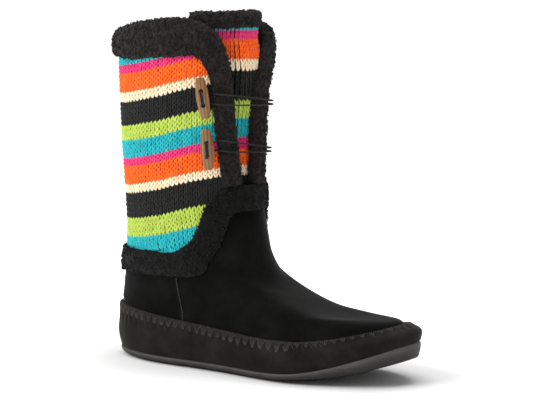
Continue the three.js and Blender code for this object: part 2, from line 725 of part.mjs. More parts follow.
// The gusset's own cuff over its upper edge.
function gussetFleece() {
  const reach = gussetHalfWidth - seatGap;
  const path = evenly(10, -reach, reach).map((h) => ({ h, z: gussetHeight }));
  const stations = path.map((point, i) => ({ point, inward: inwardAt(path, i), outerWidth: cuffHeight }));
  return edgingSolid(stations, {
    innerDepth: liningDepth, outsidePile: cuffPile, insidePile: liningPile, wall: gussetWall,
    depth: gussetDepth(0, gussetHeight), crown: cuffPile * 0.8,
  });
}

// The fleece band that covers the join of knit and suede.
function hemFleece() {
  const across = [
    { share: -1, pile: 0.3 }, { share: -0.78, pile: 0.85 }, { share: -0.3, pile: 1.05 },
    { share: 0.3, pile: 1.05 }, { share: 0.78, pile: 0.85 }, { share: 1, pile: 0.3 },
  ];
  const hems = hemSteps(46, 0, girth).slice(0, -1).map((h) => ({ h, z: hemHeight(h) }));
  const directionAt = (h) => {
    const length = Math.hypot(1, hemSlope(h));
    return { h: -hemSlope(h) / length, z: 1 / length };
  };
  // Below the line the foot leans outwards, and the band keeps its true width there.
  const lowerHold = (hem, direction) => {
    const step = hemTrimWidth / 4;
    const below = onShaft(hem.h - direction.h * step, hem.z - direction.z * step, 0);
    return Math.min(1, step / below.distanceTo(onShaft(hem.h, hem.z, 0)));
  };
  return shaftSolid(hems, across, (hem, line) => {
    const direction = directionAt(hem.h);
    const hold = line.share < 0 ? lowerHold(hem, direction) : 1;
    const reach = (line.share * hold * hemTrimWidth) / 2;
    const h = hem.h + direction.h * reach;
    const z = hem.z + direction.z * reach;
    const lump = Math.abs(line.share) < 0.9 ? lumps(h, z) : 0;
    return { h, z, outer: fleeceSeat + hemPile * line.pile + lump, inner: fleeceSeat };
  }, true);
}

// Toggles and elastic

// The two toggles on the outer flap. beside: share of frontTrim and half the width that lies between the knit's
// front edge and the toggle's middle. height: share of collarHeight. lean: degrees that the top leans back.
// loopRise, loopFall: how far above the toggle's middle its loop goes round it, and how far the loop comes down
// to the inner flap, as shares of toggleLength.
const edgeAt = ({ start, bend }, z) => mix(start.h, bend.h, (z - start.z) / (bend.z - start.z));
const toggles = [
  { name: 'upper', beside: 1.03, height: 0.792, lean: 9.5, loopRise: 0, loopFall: 0.17 },
  { name: 'lower', beside: 1.08, height: 0.646, lean: 4, loopRise: 0.12, loopFall: 0.22 },
].map((toggle) => {
  const z = toggle.height * collarHeight;
  return { ...toggle, z, h: edgeAt(outerEdge, z) + toggle.beside * (frontTrim + toggleWidth / 2) };
});

// The frame of a toggle: its long axis, its width and the way it faces.
function toggleFrame(toggle) {
  const { h, z } = toggle;
  const centre = onShaft(h, z, 0);
  const outward = onShaft(h, z, 1).sub(centre).normalize();
  const up = onShaft(h, z + 2, 0).sub(centre).normalize();
  const lengthwise = up.applyAxisAngle(outward, THREE.MathUtils.degToRad(toggle.lean));
  const sideways = new THREE.Vector3().crossVectors(lengthwise, outward).normalize();
  const facing = new THREE.Vector3().crossVectors(sideways, lengthwise).normalize();
  const matrix = new THREE.Matrix4().makeBasis(sideways, lengthwise, facing);
  return matrix.setPosition(centre);
}

// A barrel with flat-cut ends, a little flattened, with two holes through it and a groove between them.
function toggleBody(toggle) {
  const ends = toggleEndWidth / toggleWidth;
  const steps = evenly(6, -1, 1);
  const profile = steps.map((t) => new THREE.Vector2(
    (toggleWidth / 2) * mix(1, ends, Math.abs(t) ** 1.7), (toggleLength / 2) * t));
  const outline = [new THREE.Vector2(0, -toggleLength / 2), ...profile, new THREE.Vector2(0, toggleLength / 2)];
  const barrel = new THREE.LatheGeometry(outline, 12);
  barrel.scale(1, 1, toggleThickness / toggleWidth);
  let body = toManifold(barrel);
  [-1, 1].forEach((end) => {
    const hole = new THREE.CylinderGeometry(toggleHole / 2, toggleHole / 2, toggleWidth, 8);
    hole.rotateX(Math.PI / 2);
    hole.translate(0, (end * toggleHoleSpacing) / 2, 0);
    body = body.subtract(toManifold(hole));
  });
  const groove = new THREE.CylinderGeometry(toggleHole / 2, toggleHole / 2, toggleHoleSpacing, 8);
  groove.translate(0, 0, toggleThickness / 2 + toggleHole / 6);
  body = body.subtract(toManifold(groove));
  const geometry = fromManifold(body);
  geometry.translate(0, 0, toggleLift + toggleThickness / 2);
  return geometry.applyMatrix4(toggleFrame(toggle));
}

// A round cord along a smooth curve through hand-chosen points.
function cordSolid(points, diameter, steps) {
  const curve = new THREE.CatmullRomCurve3(points, false, 'centripetal');
  const section = new THREE.Shape(evenly(6, 0, 2 * Math.PI).slice(0, -1).map((turn) => (
    new THREE.Vector2(Math.cos(turn) * (diameter / 2), Math.sin(turn) * (diameter / 2)))));
  const cord = new THREE.ExtrudeGeometry(section, { steps, extrudePath: curve });
  return fromManifold(toManifold(cord));
}

// The thread that holds a toggle: from the knit through one hole, along the groove and back through the other.
function toggleThread(toggle) {
  const apart = toggleHoleSpacing / 2;
  const top = toggleLift + toggleThickness;
  const half = [
    [apart, seatGap], [apart, top * 0.5], [apart, top - 1.3], [apart - 0.35, top - 0.15], [apart - 1.2, top + 0.4],
  ];
  const points = [
    ...half.map(([y, z]) => new THREE.Vector3(0, -y, z)),
    new THREE.Vector3(0, 0, top + 0.45),
    ...half.map(([y, z]) => new THREE.Vector3(0, y, z)).reverse(),
  ];
  return cordSolid(points, threadDiameter, 14).applyMatrix4(toggleFrame(toggle));
}

// An elastic loop: from the inner flap's fleece across the opening, round behind a toggle and back. h: distance
// round the shaft, up: share of half the loop's spread, offset: height over the knit.
function elasticLoop(toggle) {
  const { z } = toggle;
  const over = fleecePile * 1.1 + lumpHeight + fleeceSeat + loopDiameter / 2 + seatGap + loopLift;
  const outer = edgeAt(outerEdge, z);
  const inner = edgeAt(innerEdge, z);
  const trimEnd = outer + frontTrim;
  const below = toggleLift / 2 + 0.3;
  const halfRoute = [
    { h: inner - frontTrim - 4, up: 0.25, offset: seatGap + loopDiameter },
    { h: inner - frontTrim - 1.8, up: 0.3, offset: over * 0.65 },
    { h: inner - frontTrim * 0.7, up: 0.4, offset: over },
    { h: inner - frontTrim * 0.1, up: 0.55, offset: over },
    { h: mix(inner, outer, 0.5), up: 0.75, offset: over - 1 },
    { h: outer + frontTrim * 0.1, up: 0.95, offset: over },
    { h: trimEnd - 6, up: 1, offset: over },
    { h: trimEnd - 2.6, up: 1, offset: over * 0.78 },
    { h: trimEnd - 0.6, up: 0.95, offset: over * 0.5 },
    { h: trimEnd + 1.2, up: 0.85, offset: below + 0.5 },
    { h: toggle.h, up: 0.6, offset: below },
  ];
  const turn = { h: toggle.h + 2.5, up: 0, offset: below };
  const place = (stop, side) => {
    const away = (toggle.h - stop.h) / (toggle.h - halfRoute[0].h);
    const middle = z + toggleLength * (toggle.loopRise * smooth(away / 0.15) - toggle.loopFall * away);
    return onShaft(stop.h, middle + (side * stop.up * loopSpread) / 2, stop.offset);
  };
  const points = [
    ...halfRoute.map((stop) => place(stop, 1)),
    place(turn, 0),
    ...halfRoute.map((stop) => place(stop, -1)).reverse(),
  ];
  return cordSolid(points, loopDiameter, 36);
}

// Materials and the finished boot

const finish = (color, roughness) => new THREE.MeshStandardMaterial({ color, roughness, metalness: 0 });
const materials = {
  suede: finish('#171614', 0.95),
  rubber: finish('#5d5b58', 0.8),
  footbed: finish('#2a2826', 0.95),
  knit: finish('#e8742a', 0.9),
  fleece: finish('#191817', 1),
  wood: finish('#b28a58', 0.45),
  elastic: finish('#1c1b1a', 0.6),
};

const boot = new THREE.Group();
boot.position.x = -heelPadX;

function addPiece(name, geometry, material) {
  const mesh = new THREE.Mesh(geometry, material);
  mesh.name = name;
  boot.add(mesh);
}

addPiece('outsole', outsole(), materials.rubber);
addPiece('insole', insole(), materials.footbed);
addPiece('suede_upper', suedeUpper(), materials.suede);
addPiece('moccasin_wrap', moccasinWrap(), materials.suede);
addPiece('knit_shaft', knitShaft(), materials.knit);
addPiece('knit_gusset', knitGusset(), materials.knit);
addPiece('collar_fleece', collarFleece(), materials.fleece);
addPiece('gusset_fleece', gussetFleece(), materials.fleece);
addPiece('hem_fleece', hemFleece(), materials.fleece);
toggles.forEach((toggle) => {
  addPiece(`toggle_${toggle.name}`, toggleBody(toggle), materials.wood);
  addPiece(`toggle_thread_${toggle.name}`, toggleThread(toggle), materials.elastic);
  addPiece(`elastic_loop_${toggle.name}`, elasticLoop(toggle), materials.elastic);
});

export default boot;
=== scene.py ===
"""A sweater boot for the right foot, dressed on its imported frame.

Black suede moccasin foot on a soft rubber sole, a striped hand-knit shaft that is open down the front, curly
black fleece at collar, opening and hem, two wooden toggles and two thin elastic loops.

Lengths are in millimetres until a mesh is made. Inside the shape functions x is measured from the back of the
heel; the meshes move the origin to the heel pad, where the frame has it.
"""

import math

import bmesh
import bpy
import numpy as np
from mathutils import Matrix, Vector


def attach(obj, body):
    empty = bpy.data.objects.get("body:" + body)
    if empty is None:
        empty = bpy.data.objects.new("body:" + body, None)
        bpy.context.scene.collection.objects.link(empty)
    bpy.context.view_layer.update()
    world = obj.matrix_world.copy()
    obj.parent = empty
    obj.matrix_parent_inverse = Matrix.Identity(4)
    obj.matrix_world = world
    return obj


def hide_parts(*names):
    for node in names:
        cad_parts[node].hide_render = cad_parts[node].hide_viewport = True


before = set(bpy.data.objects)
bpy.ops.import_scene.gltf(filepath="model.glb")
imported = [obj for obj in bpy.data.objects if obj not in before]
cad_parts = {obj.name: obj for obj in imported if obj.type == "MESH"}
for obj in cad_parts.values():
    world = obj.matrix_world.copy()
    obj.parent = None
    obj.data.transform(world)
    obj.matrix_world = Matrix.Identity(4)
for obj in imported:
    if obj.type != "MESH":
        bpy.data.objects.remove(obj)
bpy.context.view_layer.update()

MM = 0.001

# Foot
SOLE_LENGTH = 262
BALL_WIDTH = 98
INSTEP_HEIGHT = 75
HEEL_PAD_X = 36
HEEL_SQUARENESS = 2.25
FRONT_SQUARENESS = 2.05
# Where the sole's waist is narrowest and how far it reaches, as shares of the length
WAIST_PLACE = 0.41
WAIST_REACH = 0.30
TOE_SPRING = 20.5
SPRING_START = 141
SPRING_POWER = 2.3

# Outsole and insole
SOLE_THICKNESS = 6
TOE_BUMPER = 7.2
TOE_BUMPER_LENGTH = 92
SOLE_EDGE = 3.1
SOLE_BEVEL = 2.4
TREAD_DEPTH = 1.5
ARCH_LIFT = 0.6
TREAD_MARGIN = 7.3
BAR_WIDTH = 5.5
BAR_PITCH = 12
PAD_LENGTH = 26
PAD_WIDTH = 30
INSOLE_THICKNESS = 4

# Shaft
COLLAR_HEIGHT = 258
COLLAR_RISE = 10.5
COLLAR_DIP = 8.5
COLLAR_DEPTH = 121
COLLAR_WIDTH = 88
ANKLE_DEPTH = 111
ANKLE_WIDTH = 80

# Hem and front opening
HEM_SIDE_HEIGHT = 77
TONGUE_HEIGHT = 129
TONGUE_MIDDLE = -11
TONGUE_FLAT = 35
TONGUE_CORNER = 22
HEM_CORNER = 45
HEM_ANGLE = 63
SLIT_ANGLE = 14.5
OPENING_FOOT = 22
OPENING_TOP = 29

# Walls and trims
SUEDE_WALL = 2
WRAP_WALL = 1.8
KNIT_WALL = 3
GUSSET_WALL = 2.6
SEAT_GAP = 0.45
FLEECE_SEAT = 0.75
FLEECE_PILE = 4.4
LUMP_HEIGHT = 0.5
LINING_PILE = 3
COLLAR_TRIM_DROP = 25
FRONT_TRIM = 12.5
LINING_DEPTH = 12
HEM_TRIM_WIDTH = 19.5
HEM_PILE = 3.5
CUFF_PILE = 4
CUFF_HEIGHT = 10
GUSSET_RISE = 6
GUSSET_HEIGHT = COLLAR_HEIGHT + GUSSET_RISE
GUSSET_HALF_WIDTH = 50
GUSSET_CLEAR_WIDTH = 64
GUSSET_FOOT = 12

# Toggles and loops
TOGGLE_LENGTH = 30
TOGGLE_WIDTH = 10
TOGGLE_THICKNESS = 7
TOGGLE_END_WIDTH = 6
TOGGLE_HOLE_SPACING = 10.5
TOGGLE_HOLE = 3
TOGGLE_LIFT = 3.8
THREAD_DIAMETER = 1.6
LOOP_DIAMETER = 1.4
LOOP_SPREAD = 7.5
LOOP_LIFT = 1

# Knit: one stitch is a wale wide and a course high
WALE = 3.9


def mix(a, b, t):
    return a + (b - a) * t


def smooth(t):
    t = np.clip(t, 0, 1)
    return t * t * (3 - 2 * t)


def unit(v):
    return v / np.maximum(np.linalg.norm(v, axis=-1, keepdims=True), 1e-9)


# The last

def spring_at(x):
    return TOE_SPRING * np.maximum(0, (x - SPRING_START) / (SOLE_LENGTH - SPRING_START)) ** SPRING_POWER


def sole_top_at(x):
    bumper = TOE_BUMPER * smooth((x - SOLE_LENGTH + TOE_BUMPER_LENGTH) / TOE_BUMPER_LENGTH)
    return SOLE_THICKNESS + bumper + spring_at(x)


# Rings of the foot. Columns: back, front (shares of the sole's length), lateral, medial (shares of the ball's
# width), widest (share of the ring's length), four heights from heel to tip (shares of the instep's height),
# and the waist's outer and inner cut and the inward swing of the toe (shares of the ball's width).
FOOT_RINGS = (
    (0.020, 0.966, 0.445, 0.425, 0.65, 0.003, 0.003, 0.003, 0.003, 0.08, 0.13, 0.085),
    (0.009, 0.972, 0.475, 0.450, 0.65, 0.18, 0.16, 0.16, 0.09, 0.07, 0.12, 0.085),
    (0.018, 0.935, 0.445, 0.420, 0.64, 0.455, 0.38, 0.30, 0.185, 0.05, 0.09, 0.085),
    (0.012, 0.918, 0.415, 0.390, 0.62, 0.525, 0.455, 0.405, 0.26, 0.03, 0.06, 0.08),
    (0.015, 0.852, 0.395, 0.375, 0.59, 0.60, 0.55, 0.54, 0.355, 0.02, 0.03, 0.065),
    (0.020, 0.772, 0.385, 0.370, 0.56, 0.70, 0.68, 0.65, 0.435, 0.01, 0.01, 0.045),
    (0.026, 0.688, 0.387, 0.380, 0.54, 0.82, 0.82, 0.765, 0.545, 0, 0, 0.03),
    (0.034, 0.612, 0.392, 0.389, 0.53, 0.95, 0.95, 0.88, 0.665, 0, 0, 0.015),
    (0.041, 0.548, 0.400, 0.398, 0.52, 1.06, 1.06, 1.00, 0.80, 0, 0, 0.005),
)

# Rings of the shaft. Columns: back (share of the sole's length), depth, width (0 at the ankle, 1 at the
# collar), up (share of the collar's height), rise and dip (shares of the collar's rise and dip).
SHAFT_RINGS = (
    (0.045, 0.92, 0, 0.352, -0.70, 0),
    (0.046, 0.47, 0, 0.415, -0.20, 0),
    (0.043, 0.17, 0.10, 0.500, 0.40, 0),
    (0.034, 0.50, 0.50, 0.66, 0.80, 0.2),
    (0.027, 0.88, 0.80, 0.83, 1.00, 0.6),
    (0.022, 1.34, 1.00, 1.00, 1.00, 1),
    (0.021, 1.62, 1.05, 1.10, 1.00, 1),
)
SEAM_LEVEL = 2
CALF_LEVEL = 12
COLLAR_LEVEL = 14


def rings_in_millimetres():
    rings = []
    for back, front, lateral, medial, widest, h0, h1, h2, h3, waist_out, waist_in, swing in FOOT_RINGS:
        heights = [share * INSTEP_HEIGHT for share in (h0, h1, h2, h3)]
        widths = [share * BALL_WIDTH for share in (lateral, medial)]
        cuts = [share * BALL_WIDTH for share in (waist_out, waist_in, swing)]
        rings.append([back * SOLE_LENGTH, front * SOLE_LENGTH, *widths, widest, *heights, *cuts])
    for back, depth, width, up, rise, dip in SHAFT_RINGS:
        half = mix(ANKLE_WIDTH, COLLAR_WIDTH, width) / 2
        start = back * SOLE_LENGTH
        end = start + mix(ANKLE_DEPTH, COLLAR_DEPTH, depth)
        height = up * COLLAR_HEIGHT - SOLE_THICKNESS
        heights = [height + share * rise * COLLAR_RISE for share in (-1 / 2, -1 / 6, 1 / 6, 1 / 2)]
        heights[0] -= dip * COLLAR_DIP
        rings.append([start, end, half, half, 0.5, *heights, 0, 0, 0])
    return np.array(rings, float)


RINGS = rings_in_millimetres()
LAST_LEVEL = len(RINGS) - 1


def ring_at(level):
    """Every column of the rings at a level, on a smooth curve that never overshoots them."""
    level = np.asarray(level, float)
    index = np.clip(np.floor(level), 0, LAST_LEVEL - 1).astype(int)
    value = [RINGS[np.clip(index + k, 0, LAST_LEVEL)] for k in (-1, 0, 1, 2)]
    steps = [value[k + 1] - value[k] for k in range(3)]

    def slope(before, after):
        product = before * after
        total = np.where(product > 0, before + after, 1)
        return np.where(product > 0, 2 * product / total, 0)

    slope_a, slope_b = slope(steps[0], steps[1]), slope(steps[1], steps[2])
    a, b = value[1], value[2]
    t = (level - index)[..., None]
    cubic = 2 * a - 2 * b + slope_a + slope_b
    square = 3 * b - 3 * a - 2 * slope_a - slope_b
    return ((cubic * t + square) * t + slope_a) * t + a


def last_point(around, level):
    """Around is 0 at the back of the heel and half a turn at the toe, with the outer side between them."""
    around, level = np.broadcast_arrays(np.asarray(around, float), np.asarray(level, float))
    ring = ring_at(level)
    back, front, lateral, medial, widest = (ring[..., k] for k in range(5))
    along, across = np.cos(around), np.sin(around)
    power = 2 / np.where(along > 0, HEEL_SQUARENESS, FRONT_SQUARENESS)
    reach, spread = np.abs(along) ** power, np.abs(across) ** power
    t = np.where(along > 0, widest * (1 - reach), widest + (1 - widest) * reach)
    x = mix(back, front, t)
    waist = np.maximum(0, 1 - ((t - WAIST_PLACE) / WAIST_REACH) ** 2) ** 2
    half = np.where(across > 0, lateral - ring[..., 9] * waist, medial - ring[..., 10] * waist)
    y = -np.sign(across) * half * spread + ring[..., 11] * smooth((t - 0.5) / 0.5)
    weights = (
        -4.5 * (t - 1 / 3) * (t - 2 / 3) * (t - 1),
        13.5 * t * (t - 2 / 3) * (t - 1),
        -13.5 * t * (t - 1 / 3) * (t - 1),
        4.5 * t * (t - 1 / 3) * (t - 2 / 3),
    )
    height = sum(weight * ring[..., 5 + k] for k, weight in enumerate(weights))
    return np.stack([x, y, height + sole_top_at(x)], -1)


def last_normal(around, level):
    step = 0.02
    sideways = last_point(around + step, level) - last_point(around - step, level)
    low, high = np.maximum(0, level - step), np.minimum(LAST_LEVEL, level + step)
    return unit(np.cross(sideways, last_point(around, high) - last_point(around, low)))


def on_last(around, level, offset=0.0):
    normal = last_normal(np.asarray(around, float), np.asarray(level, float))
    return last_point(around, level) + normal * np.asarray(offset, float)[..., None]


# The shaft unrolled: h runs round it from the middle of the front opening to the outer side, the back and the
# inner side, and z is the height over the floor.
SLIT_AROUND = math.pi - math.radians(SLIT_ANGLE)
_turns = np.linspace(0, 1, 181)
_calf = last_point(SLIT_AROUND - 2 * math.pi * _turns, CALF_LEVEL)
UNROLLED = np.concatenate([[0], np.cumsum(np.linalg.norm(np.diff(_calf, axis=0), axis=1))])
GIRTH = UNROLLED[-1]


def around_at(h):
    turns = np.floor(np.asarray(h, float) / GIRTH)
    share = np.interp(h - turns * GIRTH, UNROLLED, _turns)
    return SLIT_AROUND - 2 * math.pi * (turns + share)


def level_at(around, z):
    around, z = np.broadcast_arrays(np.asarray(around, float), np.asarray(z, float))
    low, high = np.full(around.shape, float(SEAM_LEVEL)), np.full(around.shape, float(LAST_LEVEL))
    for _ in range(24):
        middle = (low + high) / 2
        below = last_point(around, middle)[..., 2] < z
        low, high = np.where(below, middle, low), np.where(below, high, middle)
    return (low + high) / 2


class ShaftMap:
    """Points and normals of the shaft on a 1 mm net of h and z, read between its knots."""

    z_low = 50.0
    z_high = 284
    count = 330

    def __init__(self):
        self.hs = np.arange(self.count) * GIRTH / self.count
        self.zs = np.arange(self.z_low, self.z_high)
        around = around_at(self.hs)[:, None] + np.zeros(len(self.zs))
        level = level_at(around, self.zs[None, :])
        self.points = last_point(around, level)
        self.normals = last_normal(around, level)

    def read(self, h, z):
        h, z = np.broadcast_arrays(np.asarray(h, float), np.asarray(z, float))
        column = h * self.count / GIRTH
        row = np.clip(z - self.z_low, 0, len(self.zs) - 1.001)
        i, j = np.floor(column).astype(int), np.floor(row).astype(int)
        s, t = (column - i)[..., None], (row - j)[..., None]
        i0, i1 = i % self.count, (i + 1) % self.count

        def between(net):
            return mix(mix(net[i0, j], net[i1, j], s), mix(net[i0, j + 1], net[i1, j + 1], s), t)

        return between(self.points), unit(between(self.normals))


SHAFT = ShaftMap()


def on_shaft(h, z, offset=0.0):
    point, normal = SHAFT.read(h, z)
    return point + normal * np.asarray(offset, float)[..., None]


# Lines on the shaft

HEM_TURN = math.radians(HEM_ANGLE)
FROM_RUN = TONGUE_CORNER * math.sin(HEM_TURN)
FROM_DROP = TONGUE_CORNER * (1 - math.cos(HEM_TURN))
TO_RUN = HEM_CORNER * math.sin(HEM_TURN)
TO_RISE = HEM_CORNER * (1 - math.cos(HEM_TURN))
HEM_RUN = FROM_RUN + TO_RUN + (TONGUE_HEIGHT - HEM_SIDE_HEIGHT - FROM_DROP - TO_RISE) / math.tan(HEM_TURN)


def from_tongue(h):
    rest = np.mod(np.asarray(h, float) - TONGUE_MIDDLE, GIRTH)
    return np.minimum(rest, GIRTH - rest)


def hem_height(h):
    """The line where knit meets suede: low round the heel, and up over the rounded tongue of the vamp."""
    run = from_tongue(h) - TONGUE_FLAT / 2
    left = HEM_RUN - run
    height = TONGUE_HEIGHT - FROM_DROP - (run - FROM_RUN) * math.tan(HEM_TURN)
    arc = TONGUE_HEIGHT - TONGUE_CORNER + np.sqrt(np.maximum(TONGUE_CORNER**2 - run**2, 0))
    foot = HEM_SIDE_HEIGHT + HEM_CORNER - np.sqrt(np.maximum(HEM_CORNER**2 - left**2, 0))
    height = np.where(run < FROM_RUN, arc, height)
    height = np.where(left < TO_RUN, foot, height)
    return np.where(run <= 0, TONGUE_HEIGHT, np.where(left <= 0, HEM_SIDE_HEIGHT, height))


def hem_slope(h):
    return hem_height(h + 0.5) - hem_height(h - 0.5)


def collar_edge(h):
    return last_point(around_at(h), COLLAR_LEVEL)[..., 2]


def flap_edge(side, foot, top, bend, out, corner):
    """A front edge of the knit as unrolled points: its foot, where it bends, its peak and where it ends."""
    start = np.array([side * foot * OPENING_FOOT, 0.0])
    start[1] = hem_height(start[0]) + 0.4
    turn = np.array([side * top * OPENING_TOP, bend * COLLAR_HEIGHT])
    end = np.array([turn[0] + side * corner * COLLAR_WIDTH, 0.0])
    end[1] = collar_edge(end[0])
    leaning = (turn[0] - start[0]) / (turn[1] - start[1])
    peak = np.array([turn[0] + leaning * (end[1] - turn[1]) + side * out * COLLAR_WIDTH, end[1]])
    return start, turn, peak, end


OUTER_EDGE = flap_edge(1, 0.36, 0.60, 0.84, 0, 0.43)
INNER_EDGE = flap_edge(-1, 0.32, 0.27, 0.795, 0.10, 0.80)


def edge_at(edge, z):
    start, turn, _, _ = edge
    return mix(start[0], turn[0], (z - start[1]) / (turn[1] - start[1]))


def corner_path(edge):
    _, turn, peak, end = edge
    t = np.linspace(0, 1, 24)[:, None]
    return mix(mix(turn, peak, t), mix(peak, end, t), t)


def collar_path():
    """The knit's upper edge from the outer front corner round the back to the inner one."""
    whole_turn = np.array([GIRTH, 0])
    h = np.linspace(OUTER_EDGE[3][0], INNER_EDGE[3][0] + GIRTH, 160)[1:-1]
    back = np.stack([h, collar_edge(h)], -1)
    return np.concatenate([corner_path(OUTER_EDGE), back, (corner_path(INNER_EDGE) + whole_turn)[::-1]])


def run_lengths(path):
    """How far along a path each of its points lies."""
    return np.concatenate([[0], np.cumsum(np.linalg.norm(np.diff(path, axis=0), axis=1))])


def even_count(path, count):
    """A path cut again into even lengths between this many points."""
    lengths = run_lengths(path)
    at = np.linspace(0, lengths[-1], count)
    return np.stack([np.interp(at, lengths, path[:, k]) for k in range(path.shape[1])], -1)


def even_path(path, step):
    """A path cut again into even lengths of about a step."""
    return even_count(path, max(2, round(run_lengths(path)[-1] / step) + 1))


# Meshes

def grid_faces(rows, lines, wrap_rows=False, wrap_lines=False, flip=False):
    i = np.arange(rows if wrap_rows else rows - 1)[:, None]
    j = np.arange(lines if wrap_lines else lines - 1)[None, :]
    after, beside = (i + 1) % rows, (j + 1) % lines
    corners = [i * lines + j, after * lines + j, after * lines + beside, i * lines + beside]
    faces = np.stack([np.broadcast_to(c, (i.shape[0], j.shape[1])) for c in corners], -1).reshape(-1, 4)
    return faces[:, ::-1] if flip else faces


def piece(name, points, faces, finishes, face_finish=None, weld=True, attributes=None):
    """A mesh object from points in millimetres, measured from the back of the heel."""
    mesh = bpy.data.meshes.new(name)
    places = (points.reshape(-1, 3) - [HEEL_PAD_X, 0, 0]) * MM
    mesh.vertices.add(len(places))
    mesh.vertices.foreach_set("co", places.astype(np.float32).ravel())
    mesh.loops.add(faces.size)
    mesh.loops.foreach_set("vertex_index", faces.astype(np.int32).ravel())
    mesh.polygons.add(len(faces))
    mesh.polygons.foreach_set("loop_start", np.arange(0, faces.size, faces.shape[1], dtype=np.int32))
    for finish in finishes:
        mesh.materials.append(finish)
    if face_finish is not None:
        mesh.polygons.foreach_set("material_index", np.asarray(face_finish, np.int32))
    for key, values in (attributes or {}).items():
        attribute = mesh.attributes.new(key, "FLOAT", "POINT")
        attribute.data.foreach_set("value", np.asarray(values, np.float32).ravel())
    mesh.update(calc_edges=True)
    if weld:
        shape = bmesh.new()
        shape.from_mesh(mesh)
        bmesh.ops.remove_doubles(shape, verts=shape.verts, dist=1e-6)
        bmesh.ops.dissolve_degenerate(shape, edges=shape.edges, dist=1e-7)
        shape.to_mesh(mesh)
        shape.free()
    mesh.shade_smooth()
    obj = bpy.data.objects.new(name, mesh)
    bpy.context.scene.collection.objects.link(obj)
    return obj


def closed_tube(points, capped=True):
    """Rows of closed sections, with both ends drawn in to their middles."""
    if capped:
        first, last = points[:1].mean(1, keepdims=True), points[-1:].mean(1, keepdims=True)
        width = points.shape[1]
        points = np.concatenate([np.repeat(first, width, 1), points, np.repeat(last, width, 1)])
    return points


def outward(obj):
    shape = bmesh.new()
    shape.from_mesh(obj.data)
    bmesh.ops.recalc_face_normals(shape, faces=shape.faces)
    shape.to_mesh(obj.data)
    shape.free()
    return obj


def sheet(name, points, finishes, face_finish=None, attributes=None, ring=False):
    """A closed sheet. The second half of each section runs back under the first half."""
    rows, lines = points.shape[:2]
    faces = grid_faces(rows, lines, ring, True)
    if not ring:
        k = np.arange(lines // 2 - 1)
        cap = np.stack([k, k + 1, lines - 2 - k, lines - 1 - k], -1)
        faces = np.concatenate([faces, cap, cap[:, ::-1] + (rows - 1) * lines])
        if face_finish is not None:
            face_finish = np.concatenate([face_finish, np.zeros(2 * len(cap), int)])
    return outward(piece(name, points, faces, finishes, face_finish, attributes=attributes))


def dress(obj, slot, *nodes):
    """The piece rides on the boot and stands for these nodes. The slot is not used."""
    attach(obj, "root")
    if nodes:
        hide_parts(*nodes)
    return obj


def plain_mesh(obj, name):
    """The object with its modifiers made final, as a new plain object at the origin."""
    graph = bpy.context.evaluated_depsgraph_get()
    shape = obj.evaluated_get(graph)
    mesh = bpy.data.meshes.new_from_object(shape, preserve_all_data_layers=True, depsgraph=graph)
    bpy.data.objects.remove(obj)
    mesh.name = name
    made = bpy.data.objects.new(name, mesh)
    bpy.context.scene.collection.objects.link(made)
    return made


# Nodes and finishes

def add_node(tree, kind, inputs=None, **settings):
    node = tree.nodes.new(kind)
    for key, value in settings.items():
        setattr(node, key, value)
    for key, value in (inputs or {}).items():
        if isinstance(value, bpy.types.NodeSocket):
            tree.links.new(value, node.inputs[key])
        else:
            node.inputs[key].default_value = value
    return node


def linear(colour):
    channels = [int(colour[k : k + 2], 16) / 255 for k in (1, 3, 5)]
    return (*[c / 12.92 if c <= 0.04045 else ((c + 0.055) / 1.055) ** 2.4 for c in channels], 1.0)


def new_finish(name):
    finish = bpy.data.materials.new(name)
    finish.use_nodes = True
    finish.node_tree.nodes.clear()
    return finish, finish.node_tree


def close_finish(tree, shader):
    add_node(tree, "ShaderNodeOutputMaterial", {"Surface": shader.outputs[0]})


def ramp(tree, value, stops):
    node = add_node(tree, "ShaderNodeValToRGB", {"Fac": value})
    elements = node.color_ramp.elements
    while len(elements) < len(stops):
        elements.new(0.5)
    for element, (place, colour) in zip(elements, stops):
        element.position = place
        element.color = linear(colour)
    return node.outputs["Color"]


